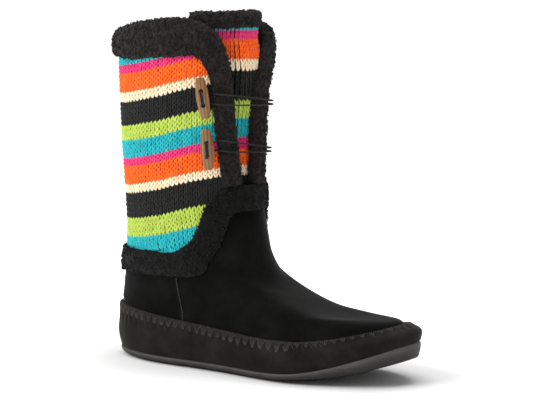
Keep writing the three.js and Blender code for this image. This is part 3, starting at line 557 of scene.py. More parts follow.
def wool_yarn(name, deep, main, light):
    """Two-ply wool, worsted spun: soft and dull, with painted shade darkening each leg towards its edges,
    where a stitch turns under its neighbours.
    """
    finish, tree = new_finish(name)
    place = add_node(tree, "ShaderNodeTexCoord")
    shade = add_node(tree, "ShaderNodeAttribute", attribute_name="shade")
    mottle = add_node(tree, "ShaderNodeTexNoise", {
        "Vector": place.outputs["Object"], "Scale": 700.0, "Detail": 3.0})
    # Painted shade: each leg darker towards its two edges, read from the leg's UV across
    along = add_node(tree, "ShaderNodeUVMap", uv_map="leg")
    parts = add_node(tree, "ShaderNodeSeparateXYZ", {"Vector": along.outputs[0]})
    aside = add_node(tree, "ShaderNodeMath", {0: parts.outputs["X"], 1: 0.5}, operation="SUBTRACT")
    squared = add_node(tree, "ShaderNodeMath", {
        0: aside.outputs[0], 1: aside.outputs[0]}, operation="MULTIPLY")
    edge = add_node(tree, "ShaderNodeMath", {
        0: squared.outputs[0], 1: -2.0, 2: 0.5}, operation="MULTIPLY_ADD")
    both = add_node(tree, "ShaderNodeMath", {
        0: mottle.outputs["Fac"], 1: shade.outputs["Fac"]}, operation="ADD")
    tone = add_node(tree, "ShaderNodeMath", {0: both.outputs[0], 1: 0.25, 2: edge.outputs[0]},
                    operation="MULTIPLY_ADD")
    colour = ramp(tree, tone.outputs[0], [(0.28, deep), (0.56, main), (0.86, light)])
    twist = add_node(tree, "ShaderNodeMapping", {"Vector": along.outputs[0], "Rotation": (0, 0, 0.9)})
    ply = add_node(tree, "ShaderNodeTexWave", {
        "Vector": twist.outputs[0], "Scale": 1.6, "Distortion": 1.2, "Detail": 1.0})
    fuzz = add_node(tree, "ShaderNodeTexNoise", {
        "Vector": place.outputs["Object"], "Scale": 2400.0, "Detail": 2.0})
    relief = add_node(tree, "ShaderNodeMath", {
        0: ply.outputs["Fac"], 1: fuzz.outputs["Fac"]}, operation="ADD")
    bump = add_node(tree, "ShaderNodeBump", {
        "Height": relief.outputs[0], "Strength": 0.5, "Distance": 0.00025})
    shader = add_node(tree, "ShaderNodeBsdfPrincipled", {
        "Base Color": colour, "Roughness": 0.9, "Normal": bump.outputs[0],
        "Specular IOR Level": 0.12, "Sheen Weight": 0.12, "Sheen Roughness": 0.5})
    close_finish(tree, shader)
    return finish


def curly_fleece(name, deep, main, tip):
    """Acrylic sherpa fleece, brushed and tumbled: painted shade in the hollows, a dull painted highlight on
    the curls' tips.
    """
    finish, tree = new_finish(name)
    place = add_node(tree, "ShaderNodeTexCoord")
    # curl: how high the fleece stands, for painted shade in the hollows and painted highlight on the tops
    curl = add_node(tree, "ShaderNodeAttribute", attribute_name="curl")
    patch = add_node(tree, "ShaderNodeTexNoise", {
        "Vector": place.outputs["Object"], "Scale": 380.0, "Detail": 4.0, "Roughness": 0.65})
    both = add_node(tree, "ShaderNodeMath", {
        0: curl.outputs["Fac"], 1: patch.outputs["Fac"]}, operation="ADD")
    tone = add_node(tree, "ShaderNodeMath", {0: both.outputs[0], 1: 0.5}, operation="MULTIPLY")
    colour = ramp(tree, tone.outputs[0], [(0.25, deep), (0.5, main), (0.8, tip)])
    # Fibre clumps near 1 mm, coarser than the real 0.3 mm hairs so that they show
    clump = add_node(tree, "ShaderNodeTexNoise", {
        "Vector": place.outputs["Object"], "Scale": 1100.0, "Detail": 3.0, "Roughness": 0.7})
    bump = add_node(tree, "ShaderNodeBump", {
        "Height": clump.outputs["Fac"], "Strength": 0.9, "Distance": 0.0006})
    shader = add_node(tree, "ShaderNodeBsdfPrincipled", {
        "Base Color": colour, "Roughness": 1.0, "Normal": bump.outputs[0],
        "Specular IOR Level": 0.05, "Sheen Weight": 0.06, "Sheen Roughness": 0.6})
    close_finish(tree, shader)
    return finish


def brushed_suede(name, deep, main, light):
    """Split cowhide suede, brushed: no gloss, a short nap in cloudy patches that catches light at a slant."""
    finish, tree = new_finish(name)
    place = add_node(tree, "ShaderNodeTexCoord")
    # Hand-brushed patches 15 to 40 mm across, and nap tufts near 1 mm
    patch = add_node(tree, "ShaderNodeTexNoise", {
        "Vector": place.outputs["Object"], "Scale": 38.0, "Detail": 5.0, "Roughness": 0.6})
    nap = add_node(tree, "ShaderNodeTexNoise", {
        "Vector": place.outputs["Object"], "Scale": 900.0, "Detail": 3.0, "Roughness": 0.7})
    weighed = add_node(tree, "ShaderNodeMath", {
        0: nap.outputs["Fac"], 1: 0.45, 2: patch.outputs["Fac"]}, operation="MULTIPLY_ADD")
    tone = add_node(tree, "ShaderNodeMath", {0: weighed.outputs[0], 1: 0.69}, operation="MULTIPLY")
    colour = ramp(tree, tone.outputs[0], [(0.36, deep), (0.5, main), (0.66, light)])
    bump = add_node(tree, "ShaderNodeBump", {
        "Height": nap.outputs["Fac"], "Strength": 0.45, "Distance": 0.0003})
    shader = add_node(tree, "ShaderNodeBsdfPrincipled", {
        "Base Color": colour, "Roughness": 1.0, "Normal": bump.outputs[0],
        "Specular IOR Level": 0.05, "Sheen Weight": 0.12, "Sheen Roughness": 0.35})
    close_finish(tree, shader)
    return finish


def moulded_rubber(name, deep, main, light):
    """Soft crepe-like rubber, moulded and matt, with faint flow lines along its edge."""
    finish, tree = new_finish(name)
    place = add_node(tree, "ShaderNodeTexCoord")
    cloud = add_node(tree, "ShaderNodeTexNoise", {
        "Vector": place.outputs["Object"], "Scale": 70.0, "Detail": 4.0})
    # Flow lines about 1 mm apart
    lay = add_node(tree, "ShaderNodeMapping", {"Vector": place.outputs["Object"], "Scale": (0.12, 0.12, 1.0)})
    flow = add_node(tree, "ShaderNodeTexNoise", {
        "Vector": lay.outputs[0], "Scale": 900.0, "Detail": 2.0, "Distortion": 0.4})
    weighed = add_node(tree, "ShaderNodeMath", {
        0: flow.outputs["Fac"], 1: 0.4, 2: cloud.outputs["Fac"]}, operation="MULTIPLY_ADD")
    # Painted shade: the sole's side lighter at the top and darker towards the bottom, from the rows' shade
    lip = add_node(tree, "ShaderNodeAttribute", attribute_name="shade")
    cloudy = add_node(tree, "ShaderNodeMath", {0: weighed.outputs[0], 1: 0.35}, operation="MULTIPLY")
    tone = add_node(tree, "ShaderNodeMath", {0: lip.outputs["Fac"], 1: 0.45, 2: cloudy.outputs[0]},
                    operation="MULTIPLY_ADD")
    colour = ramp(tree, tone.outputs[0], [(0.25, deep), (0.48, main), (0.72, light)])
    bump = add_node(tree, "ShaderNodeBump", {
        "Height": flow.outputs["Fac"], "Strength": 0.35, "Distance": 0.0002})
    shader = add_node(tree, "ShaderNodeBsdfPrincipled", {
        "Base Color": colour, "Roughness": 0.62, "Normal": bump.outputs[0], "Specular IOR Level": 0.35})
    close_finish(tree, shader)
    return finish


def sewing_thread(name, deep, light, gloss):
    """Waxed polyester thread, three-ply: dull, with a fine slanting twist."""
    finish, tree = new_finish(name)
    place = add_node(tree, "ShaderNodeTexCoord")
    grain = add_node(tree, "ShaderNodeTexNoise", {
        "Vector": place.outputs["Object"], "Scale": 1500.0, "Detail": 2.0})
    colour = ramp(tree, grain.outputs["Fac"], [(0.35, deep), (0.7, light)])
    bump = add_node(tree, "ShaderNodeBump", {
        "Height": grain.outputs["Fac"], "Strength": 0.5, "Distance": 0.0002})
    shader = add_node(tree, "ShaderNodeBsdfPrincipled", {
        "Base Color": colour, "Roughness": gloss, "Normal": bump.outputs[0], "Specular IOR Level": 0.3})
    close_finish(tree, shader)
    return finish


def turned_wood(name):
    """Oiled ash, turned and sanded: pale tan with redder grain lines along the toggle and a soft shine."""
    finish, tree = new_finish(name)
    grain = add_node(tree, "ShaderNodeAttribute", attribute_name="grain")
    # Growth lines about 1.5 mm apart across the toggle, drawn out along it
    lay = add_node(tree, "ShaderNodeMapping", {"Vector": grain.outputs["Vector"], "Scale": (1.0, 0.08, 1.0)})
    rings = add_node(tree, "ShaderNodeTexWave", {
        "Vector": lay.outputs[0], "Scale": 0.13, "Distortion": 9.0, "Detail": 4.0, "Detail Scale": 0.5})
    pores = add_node(tree, "ShaderNodeTexNoise", {
        "Vector": lay.outputs[0], "Scale": 3.0, "Detail": 5.0, "Roughness": 0.7})
    weighed = add_node(tree, "ShaderNodeMath", {
        0: pores.outputs["Fac"], 1: 0.8, 2: rings.outputs["Fac"]}, operation="MULTIPLY_ADD")
    tone = add_node(tree, "ShaderNodeMath", {0: weighed.outputs[0], 1: 0.55}, operation="MULTIPLY")
    colour = ramp(tree, tone.outputs[0], [
        (0.1, "#502F10"), (0.4, "#6A431B"), (0.7, "#7F5828"), (0.95, "#99713B")])
    bump = add_node(tree, "ShaderNodeBump", {
        "Height": pores.outputs["Fac"], "Strength": 0.25, "Distance": 0.0002})
    shader = add_node(tree, "ShaderNodeBsdfPrincipled", {
        "Base Color": colour, "Roughness": 0.42, "Normal": bump.outputs[0], "Coat Weight": 0.15,
        "Coat Roughness": 0.3})
    close_finish(tree, shader)
    return finish


YARNS = {
    "orange": wool_yarn("orange wool yarn", "#C23C06", "#F55A10", "#FF6E22"),
    "pink": wool_yarn("pink wool yarn", "#A30F48", "#D8266C", "#E8447F"),
    "teal": wool_yarn("teal wool yarn", "#07757E", "#12A0AA", "#30B8BF"),
    "lime": wool_yarn("lime wool yarn", "#7F9628", "#A6BF44", "#BDD262"),
    "cream": wool_yarn("cream wool yarn", "#C7A77E", "#EAD2AE", "#F6E6CA"),
    "black": wool_yarn("black wool yarn", "#090908", "#121211", "#201F1F"),
}
YARN_NAMES = list(YARNS)
# Darker copies of the yarns for the knit's body behind the stitches: painted shade
SHADOWED = {
    name: wool_yarn(f"{name} wool behind the stitches", *colours) for name, colours in {
        "orange": ("#6A1E02", "#9A3206", "#B3420E"),
        "pink": ("#5A0828", "#821440", "#98204F"),
        "teal": ("#034A50", "#08646C", "#107880"),
        "lime": ("#4E5E10", "#6C801E", "#80942C"),
        "cream": ("#8E7048", "#AA8A60", "#C0A078"),
        "black": ("#040404", "#070707", "#0B0B0B"),
    }.items()
}
FLEECE = curly_fleece("black curly fleece", "#080706", "#191615", "#322E2B")
HEM_FLEECE = curly_fleece("black curly fleece of the hem", "#040404", "#0B0B0A", "#191817")
SUEDE = brushed_suede("black brushed suede", "#060605", "#0C0C0B", "#141413")
WRAP_SUEDE = brushed_suede("black brushed suede of the wrap", "#11110F", "#1B1A17", "#262521")
RUBBER = moulded_rubber("grey moulded rubber", "#1A1917", "#302E2C", "#474440")
STITCHING = sewing_thread("grey waxed thread", "#2E2B28", "#54504B", 0.8)
CORD_BLACK = sewing_thread("black waxed cord", "#0A0A0A", "#1A1918", 0.55)
ELASTIC = sewing_thread("black round elastic", "#0B0B0A", "#1B1A19", 0.55)
WOOD = turned_wood("oiled turned wood")
FELT = curly_fleece("black pile felt", "#0B0A09", "#191716", "#262321")


# Relief

def hashed(cells, seed):
    """Three repeatable numbers from 0 to 1 for each whole-number cell."""
    table = np.random.default_rng(seed).random((4096, 3))
    a, b, c = (cells[..., k].astype(np.int64) for k in range(3))
    return table[(a * 7919 + b * 104729 + c * 1299709) & 4095]


def round_cells(points, size, seed):
    """Rounded lumps about a size wide: 1 at the middle of each, near 0 between them."""
    scaled = points / size
    base = np.floor(scaled)
    nearest = np.full(points.shape[:-1], 9.0)
    for x in (-1, 0, 1):
        for y in (-1, 0, 1):
            for z in (-1, 0, 1):
                cell = base + [x, y, z]
                centre = cell + hashed(cell, seed)
                nearest = np.minimum(nearest, ((scaled - centre) ** 2).sum(-1))
    return np.clip(1 - nearest / 0.75, 0, 1)


def grid_normals(points, wrap_rows=False, wrap_lines=False):
    def step(axis, wrap):
        if wrap:
            return np.roll(points, -1, axis) - np.roll(points, 1, axis)
        return np.gradient(points, axis=axis)

    return unit(np.cross(step(0, wrap_rows), step(1, wrap_lines)))


def curly(points, normals, height, seed):
    """Points raised by lumps of two sizes, in millimetres, and how high each stands from 0 to 1."""
    lumps = 0.6 * round_cells(points, 2.8, seed) + 0.4 * round_cells(points, 1.6, seed + 1)
    return points + normals * (height * (lumps - 0.5))[..., None], lumps


# Geometry Nodes

def new_tree(name, sockets):
    tree = bpy.data.node_groups.new(name, "GeometryNodeTree")
    tree.interface.new_socket("Geometry", in_out="INPUT", socket_type="NodeSocketGeometry")
    for label, kind in sockets:
        tree.interface.new_socket(label, in_out="INPUT", socket_type=kind)
    tree.interface.new_socket("Geometry", in_out="OUTPUT", socket_type="NodeSocketGeometry")
    return tree, add_node(tree, "NodeGroupInput")


def end_tree(tree, geometry, finish):
    real = add_node(tree, "GeometryNodeRealizeInstances", {"Geometry": geometry})
    painted = add_node(tree, "GeometryNodeSetMaterial", {
        "Geometry": real.outputs["Geometry"], "Material": finish})
    add_node(tree, "NodeGroupOutput", {"Geometry": painted.outputs["Geometry"]})


def repeat_tree():
    """One shape on every point, turned by the point's turn and sized by its size."""
    tree, given = new_tree("repeat on points", [
        ("Shape", "NodeSocketObject"), ("Finish", "NodeSocketMaterial")])
    shape = add_node(tree, "GeometryNodeObjectInfo", {"Object": given.outputs["Shape"]})
    turn = add_node(tree, "GeometryNodeInputNamedAttribute", {"Name": "turn"}, data_type="FLOAT_VECTOR")
    size = add_node(tree, "GeometryNodeInputNamedAttribute", {"Name": "size"}, data_type="FLOAT_VECTOR")
    put = add_node(tree, "GeometryNodeInstanceOnPoints", {
        "Points": given.outputs["Geometry"], "Instance": shape.outputs["Geometry"],
        "Rotation": turn.outputs[0], "Scale": size.outputs[0]})
    end_tree(tree, put.outputs["Instances"], given.outputs["Finish"])
    return tree


def curl_tree():
    """Small curls strewn over a surface, each turned and sized at random from a fixed seed."""
    tree, given = new_tree("strewn curls", [
        ("Curl", "NodeSocketObject"), ("Finish", "NodeSocketMaterial"), ("Density", "NodeSocketFloat"),
        ("Smallest", "NodeSocketFloat"), ("Largest", "NodeSocketFloat"), ("Seed", "NodeSocketInt")])
    strewn = add_node(tree, "GeometryNodeDistributePointsOnFaces", {
        "Mesh": given.outputs["Geometry"], "Density": given.outputs["Density"],
        "Seed": given.outputs["Seed"]})
    curl = add_node(tree, "GeometryNodeObjectInfo", {"Object": given.outputs["Curl"]})
    tilt = add_node(tree, "FunctionNodeRandomValue", {
        "Min": (-0.9, -0.9, 0.0), "Max": (0.9, 0.9, 6.283), "Seed": given.outputs["Seed"]},
        data_type="FLOAT_VECTOR")
    turned = add_node(tree, "FunctionNodeRotateRotation", {
        "Rotation": strewn.outputs["Rotation"], "Rotate By": tilt.outputs[0]}, rotation_space="LOCAL")
    size = add_node(tree, "FunctionNodeRandomValue", {
        2: given.outputs["Smallest"], 3: given.outputs["Largest"], "Seed": given.outputs["Seed"]},
        data_type="FLOAT")
    put = add_node(tree, "GeometryNodeInstanceOnPoints", {
        "Points": strewn.outputs["Points"], "Instance": curl.outputs["Geometry"],
        "Rotation": turned.outputs[0], "Scale": size.outputs[1]})
    end_tree(tree, put.outputs["Instances"], given.outputs["Finish"])
    return tree


REPEAT = repeat_tree()
CURLS = curl_tree()


def grown(base, name, tree, values):
    """A new plain mesh from a tree on a base object, which stays."""
    stand = bpy.data.objects.new(name, base.data.copy())
    bpy.context.scene.collection.objects.link(stand)
    modifier = stand.modifiers.new("grown", "NODES")
    modifier.node_group = tree
    inputs = {item.name: item.identifier for item in tree.interface.items_tree if item.in_out == "INPUT"}
    for key, value in values.items():
        modifier[inputs[key]] = value
    return plain_mesh(stand, name)


def euler_angles(across, up, out):
    """XYZ Euler angles of frames given by their three unit directions."""
    return np.stack([
        np.arctan2(up[..., 2], out[..., 2]),
        np.arcsin(np.clip(-across[..., 2], -1, 1)),
        np.arctan2(across[..., 1], across[..., 0]),
    ], -1)


def repeated(name, shape, finish, centres, across, up, out, sizes, shades):
    """A shape repeated on centres in millimetres, as one plain mesh."""
    mesh = bpy.data.meshes.new(name)
    mesh.vertices.add(len(centres))
    mesh.vertices.foreach_set("co", ((centres - [HEEL_PAD_X, 0, 0]) * MM).astype(np.float32).ravel())
    for key, values in (("turn", euler_angles(across, up, out)), ("size", sizes)):
        attribute = mesh.attributes.new(key, "FLOAT_VECTOR", "POINT")
        attribute.data.foreach_set("vector", values.astype(np.float32).ravel())
    shade = mesh.attributes.new("shade", "FLOAT", "POINT")
    shade.data.foreach_set("value", shades.astype(np.float32))
    base = bpy.data.objects.new(name + "_points", mesh)
    bpy.context.scene.collection.objects.link(base)
    made = grown(base, name, REPEAT, {"Shape": shape, "Finish": finish})
    bpy.data.objects.remove(base)
    made.data.shade_smooth()
    return made


def hidden_shape(name, points, faces, uv=None):
    """A small shape in its own unit frame, kept only to be repeated."""
    mesh = bpy.data.meshes.new(name)
    mesh.from_pydata(points.reshape(-1, 3).tolist(), [], list(faces))
    if uv is not None:
        layer = mesh.uv_layers.new(name="leg")
        corners = np.empty(len(mesh.loops), np.int32)
        mesh.loops.foreach_get("vertex_index", corners)
        layer.data.foreach_set("uv", uv.reshape(-1, 2)[corners].astype(np.float32).ravel())
    mesh.shade_smooth()
    return bpy.data.objects.new(name, mesh)


def stitch_leg(side):
    """One leg of a knit stitch: a plump half-round yarn. It comes out over the stitch below at the point of
    the V and goes under the next at its top. Units: a wale across, a course up, a millimetre out."""
    # Columns: across, up, out, half width in wales, half thickness in millimetres
    line = np.array([
        (0.05, -0.78, -0.85, 0.10, 0.30),
        (0.075, -0.55, 0.15, 0.16, 0.62),
        (0.165, -0.20, 0.42, 0.205, 0.85),
        (0.275, 0.18, 0.38, 0.205, 0.85),
        (0.365, 0.55, 0.0, 0.175, 0.65),
        (0.42, 0.92, -0.95, 0.12, 0.30),
    ])
    turns = np.radians([0, 45, 90, 135, 180])
    across = side * (line[:, None, 0] + np.cos(turns) * line[:, None, 3])
    up = line[:, None, 1] - np.cos(turns) * 0.12
    out = line[:, None, 2] + np.sin(turns) * line[:, None, 4]
    points = np.stack([across, up, out], -1)
    uv = np.stack(np.broadcast_arrays(turns[None, :] / math.pi, line[:, None, 1]), -1)
    return points, uv


def knit_stitch():
    right, right_uv = stitch_leg(1)
    left, left_uv = stitch_leg(-1)
    rows, lines = right.shape[:2]
    faces = np.concatenate([
        grid_faces(rows, lines, flip=True),
        grid_faces(rows, lines) + rows * lines,
    ])
    return hidden_shape("knit_stitch", np.stack([right, left]), faces.tolist(), np.stack([right_uv, left_uv]))


STITCH = knit_stitch()


# Stripes of the knit from the hem up: yarn, courses and height in millimetres, on the line where the courses'
# lift is 0
FIRST_COURSE_Z = 62.6
SHAFT_STRIPES = (
    ("orange", 4, 14.2), ("pink", 2, 6.6), ("teal", 4, 15.0), ("lime", 4, 14.5), ("black", 5, 19.3),
    ("cream", 2, 6.4), ("orange", 4, 14.2), ("pink", 2, 6.0), ("teal", 4, 13.4), ("lime", 3, 11.3),
    ("black", 5, 18.0), ("cream", 2, 7.2), ("orange", 4, 14.1), ("pink", 2, 6.6), ("teal", 4, 14.0),
    ("lime", 4, 14.4), ("black", 4, 15.0),
)

# How the courses rise from the back to the front: distance round the shaft from the opening, and lift
COURSE_LIFT = ((0, 16.5), (23, 13.2), (38, 10.7), (45, 9.4), (52, 7.6), (60, 5.6), (68, 3.4), (75, 1.8),
               (85, 0), (95, -1.7), (110, -3.6), (130, -4.3), (160, -4.6))


def courses(stripes, start):
    """The lower edges of all courses where they have no lift, and the yarn of each."""
    edges, yarns = [start], []
    for yarn, count, height in stripes:
        for _ in range(count):
            edges.append(edges[-1] + height / count)
            yarns.append(YARN_NAMES.index(yarn))
    return np.array(edges), np.array(yarns)


def course_lift(h):
    aside = np.mod(h, GIRTH)
    return np.interp(np.minimum(aside, GIRTH - aside), *np.array(COURSE_LIFT, float).T)


def knit_stitches(name, hs, edges, yarns, lift, depth, keep, seed, wale_share=1):
    """Stitches of one knit panel, one plain mesh for each yarn. hs are the wales' middles."""
    random = np.random.default_rng(seed)
    middle, height = (edges[1:] + edges[:-1]) / 2, np.diff(edges)
    h, z = np.meshgrid(hs, middle, indexing="ij")
    height = np.broadcast_to(height, h.shape)
    yarn = np.broadcast_to(yarns, h.shape)
    z = z + lift(h)
    kept = keep(h, z)
    h, z, height, yarn = h[kept], z[kept], height[kept], yarn[kept]
    offset = depth(h, z)
    centre = on_shaft(h, z, offset)

    def beside(place):
        return on_shaft(place, z + lift(place) - lift(h), offset)

    across = beside(h + WALE / 2) - beside(h - WALE / 2)
    wale_width = np.linalg.norm(across, axis=-1)
    up = unit(on_shaft(h, z + 1, offset) - on_shaft(h, z - 1, offset))
    out = unit(np.cross(up, across))
    out = np.where((out * SHAFT.read(h, z)[1]).sum(-1, keepdims=True) < 0, -out, out)
    side = unit(np.cross(up, out))
    loose = 1 + 0.04 * random.standard_normal((len(h), 2))
    wander = 0.09 * random.standard_normal((len(h), 3))
    sizes = np.stack([wale_width * wale_share * loose[:, 0], height * loose[:, 1], np.ones(len(h))], -1) * MM
    shades = np.clip(0.5 + 0.22 * random.standard_normal(len(h)), 0, 1)
    made = []
    for index, yarn_name in enumerate(YARN_NAMES):
        chosen = yarn == index
        if chosen.any():
            made.append(repeated(
                f"{name}_{yarn_name}", STITCH, YARNS[yarn_name], (centre + wander)[chosen], side[chosen],
                up[chosen], out[chosen], sizes[chosen], shades[chosen]))
    return made


def knit_ground(name, columns, heights, yarns, outer, inner):
    """The knit's body behind its stitches: a closed wall, each course in a darker copy of its yarn, painted
    shade for the yarn seen behind the stitches.
    """
    rows, lines = heights.shape
    h = np.broadcast_to(columns[:, None], heights.shape)
    outside = on_shaft(h, heights, outer(h, heights))
    inside = on_shaft(h, heights, inner(h, heights))
    points = np.concatenate([outside, inside[:, ::-1]], 1)
    finish = np.zeros((rows - 1, lines * 2), int)
    finish[:, : lines - 1] = yarns[None, :]
    finish[:, lines - 1] = yarns[-1]
    finish[:, lines : 2 * lines - 1] = yarns[None, ::-1]
    finish[:, 2 * lines - 1] = yarns[0]
    return sheet(name, points, [SHADOWED[y] for y in YARN_NAMES], finish.ravel())


STITCH_DEPTH = 0.85
# How far the knit's body lies behind the middle of its stitches
GROUND_GAP = 0.25
# How far the stitches run on under the fleece, at the front and hem and at the collar
TUCK = 4
COLLAR_TUCK = 7


def even_depth(depth):
    return lambda h, z: np.full(h.shape, -float(depth))


def build_knit_shaft():
    edges, yarns = courses(SHAFT_STRIPES, FIRST_COURSE_Z)
    foot_outer, foot_inner = OUTER_EDGE[0], INNER_EDGE[0] + [GIRTH, 0]
    rim = np.concatenate([[foot_outer], collar_path(), [foot_inner]])

    def rim_at(h):
        return np.interp(h, rim[:, 0], rim[:, 1])

    columns = np.linspace(foot_outer[0], foot_inner[0], 110)
    low = hem_height(columns) + 0.5
    high = np.maximum(rim_at(columns) - 0.6, low + 0.2)
    heights = np.clip(edges[None, :] + course_lift(columns)[:, None], low[:, None], high[:, None])
    ground = knit_ground("shaft_knit_ground", columns, heights, yarns,
                         even_depth(STITCH_DEPTH + GROUND_GAP), even_depth(KNIT_WALL - 0.2))
    dress(ground, "knit", "knit_shaft")

    count = round(GIRTH / WALE)
    hs = (np.arange(count) + 0.5) * GIRTH / count

    def keep(h, z):
        outside = h > edge_at(OUTER_EDGE, np.minimum(z, OUTER_EDGE[1][1])) + FRONT_TRIM - TUCK
        inside = h < edge_at(INNER_EDGE, np.minimum(z, INNER_EDGE[1][1])) + GIRTH - FRONT_TRIM + TUCK
        under = z < rim_at(h) - COLLAR_TRIM_DROP + COLLAR_TUCK
        reach = HEM_TRIM_WIDTH / 2 - TUCK
        clear = np.all([z > hem_height(h + k) for k in (-reach, 0, reach)], axis=0)
        return outside & inside & under & clear & (z > hem_height(h) + reach)

    for made in knit_stitches("shaft_stitches", hs, edges, yarns, course_lift, even_depth(STITCH_DEPTH),
                              keep, 11):
        dress(made, "knit")


def gusset_depth(h, z):
    """How far in the gusset lies: on the knit at its sides, and deeper behind the opening and its cuff."""
    cleared = KNIT_WALL + 2 * SEAT_GAP + LINING_PILE
    at_cuff = cleared + CUFF_PILE + SEAT_GAP
    toward_slit = 1 - smooth((np.abs(h) - GUSSET_CLEAR_WIDTH / 2) / 12)
    toward_cuff = smooth((z - GUSSET_HEIGHT + 4 * CUFF_HEIGHT) / (2 * CUFF_HEIGHT))
    resting = KNIT_WALL + 1.5 * SEAT_GAP
    return mix(mix(resting, cleared, toward_slit), at_cuff, toward_cuff)


# Stripes of the gusset from its foot up, read through the opening
GUSSET_FIRST_Z = 97.6
GUSSET_STRIPES = (
    ("teal", 4, 14.2), ("lime", 4, 14.4), ("black", 5, 19.0), ("cream", 2, 7.2), ("orange", 4, 12.4),
    ("pink", 3, 8.8), ("teal", 4, 14.4), ("lime", 4, 13.3), ("black", 6, 22.1), ("cream", 2, 7.1),
    ("orange", 4, 14.9), ("pink", 2, 6.9), ("teal", 4, 13.0),
)
GUSSET_WALES = 12
# The gusset's knit is pulled wide, so the ground's painted shade shows as dark gaps between its wales
GUSSET_WALE_SHARE = 0.92


def gusset_fill(h, z):
    """How far the pulled gusset bulges towards the opening beside the inner flap, in millimetres."""
    beside = smooth((h + 40) / 14) * (1 - smooth((h - 2) / 14))
    return mix(3.8, 2.2, smooth((z - 236) / 14)) * beside * smooth((z - 170) / 40)


def build_knit_gusset():
    columns = np.linspace(-GUSSET_HALF_WIDTH, GUSSET_HALF_WIDTH, 40)
    edges, yarns = courses(GUSSET_STRIPES, GUSSET_FIRST_Z)
    low = hem_height(columns) - GUSSET_FOOT
    heights = np.clip(edges[None, :] + 0 * columns[:, None], low[:, None], GUSSET_HEIGHT)
    ground = knit_ground("gusset_knit_ground", columns, heights, yarns,
                         lambda h, z: gusset_fill(h, z) - gusset_depth(h, z) - STITCH_DEPTH - GROUND_GAP,
                         lambda h, z: -gusset_depth(h, z) - GUSSET_WALL + 0.1)
    dress(ground, "gusset_knit", "knit_gusset")
    hs = np.arange(-GUSSET_WALES, GUSSET_WALES + 1) * WALE

    def keep(h, z):
        return (z < GUSSET_HEIGHT - CUFF_HEIGHT + TUCK) & (z > hem_height(h) - TUCK)

    for made in knit_stitches("gusset_stitches", hs, edges, yarns, lambda h: 0 * h,
                              lambda h, z: gusset_fill(h, z) - gusset_depth(h, z) - STITCH_DEPTH, keep, 12,
                              GUSSET_WALE_SHARE):
        dress(made, "gusset_knit")


# Fleece

def edging_profile(outer_width, outside, inside, wall, crown, step=0.9):
    """Across an edging that folds over the knit's edge, as rows of along and offset: along runs in from the
    edge, and is negative beyond it. The seat runs back, so that the section is closed."""
    face = np.array([
        (outer_width, 0.15 * outside + FLEECE_SEAT),
        (outer_width * 0.97, 0.62 * outside + FLEECE_SEAT),
        (outer_width * 0.82, 0.95 * outside + FLEECE_SEAT),
        (outer_width * 0.4, 1.08 * outside + FLEECE_SEAT),
        (outer_width * 0.08, 0.98 * outside + FLEECE_SEAT),
        (-SEAT_GAP - 0.62 * crown, 0.62 * outside),
        (-SEAT_GAP - 0.86 * crown, -0.3 * wall),
        (-SEAT_GAP - 0.62 * crown, -wall - 0.62 * inside),
        (LINING_DEPTH * 0.2, -wall - SEAT_GAP - inside),
        (LINING_DEPTH * 0.75, -wall - SEAT_GAP - inside * 0.9),
        (LINING_DEPTH, -wall - SEAT_GAP - inside * 0.35),
    ])
    rounded = even_path(smooth_line(face, 10), step)
    seat = np.array([
        (LINING_DEPTH, -wall - SEAT_GAP + 0.1),
        (-SEAT_GAP, -wall - SEAT_GAP + 0.1),
        (-SEAT_GAP, FLEECE_SEAT - 0.3),
        (outer_width, FLEECE_SEAT - 0.3),
    ])
    return rounded, seat


def smooth_line(points, steps):
    """A centripetal Catmull-Rom curve through points."""
    points = np.asarray(points, float)
    ends = np.concatenate([2 * points[:1] - points[1:2], points, 2 * points[-1:] - points[-2:-1]])
    parts = []
    for k in range(len(points) - 1):
        p = ends[k : k + 4]
        gaps = [max(np.linalg.norm(p[i + 1] - p[i]) ** 0.5, 1e-4) for i in range(3)]
        a = (p[1] - p[0]) / gaps[0] - (p[2] - p[0]) / (gaps[0] + gaps[1]) + (p[2] - p[1]) / gaps[1]
        b = (p[2] - p[1]) / gaps[1] - (p[3] - p[1]) / (gaps[1] + gaps[2]) + (p[3] - p[2]) / gaps[2]
        a, b = a * gaps[1], b * gaps[1]
        t = np.linspace(0, 1, steps, endpoint=False)[:, None]
        cubic = 2 * p[1] - 2 * p[2] + a + b
        square = -3 * p[1] + 3 * p[2] - 2 * a - b
        parts.append(((cubic * t + square) * t + a) * t + p[1])
    return np.concatenate([*parts, points[-1:]])


def inward_directions(path):
    step = np.gradient(path, axis=0)
    return unit(np.stack([step[:, 1], -step[:, 0]], -1))


CURL_STEPS = 5
CURL_SIDES = 3
SMALLEST_CURL = 0.5
LARGEST_CURL = 1.05
# Loose curls on a square millimetre
CURL_DENSITY = 0.19
# How far the lumps of the fleece's body rise and fall
LUMP_RANGE = 1.4


def wool_curl():
    """A small open curl of fleece, in millimetres: most of a turn of a soft strand with thin ends."""
    turn = np.linspace(-0.2, 1.25 * math.pi, CURL_STEPS)
    line = np.stack([0.95 * np.cos(turn), 0.25 * np.sin(2 * turn), 0.85 * np.sin(turn) + 0.1], -1)
    tangent = unit(np.gradient(line, axis=0))
    side = unit(np.cross(tangent, [0, 1, 0.2]))
    other = np.cross(tangent, side)
    thick = 0.50 * np.sin(np.linspace(0.5, math.pi - 0.5, CURL_STEPS)) ** 0.6
    spokes = np.arange(CURL_SIDES) / CURL_SIDES * 2 * math.pi
    ring = (np.cos(spokes)[None, :, None] * side[:, None] + np.sin(spokes)[None, :, None] * other[:, None])
    points = line[:, None] + ring * thick[:, None, None]
    faces = grid_faces(CURL_STEPS, CURL_SIDES, wrap_lines=True, flip=True).tolist()
    last = (CURL_STEPS - 1) * CURL_SIDES
    ends = [list(range(CURL_SIDES)), [last + k for k in reversed(range(CURL_SIDES))]]
    return hidden_shape("wool_curl", points * MM, faces + ends)


CURL = wool_curl()


# How far the loose curls stand over the fleece's body, on average
CURL_ROOM = 1.0


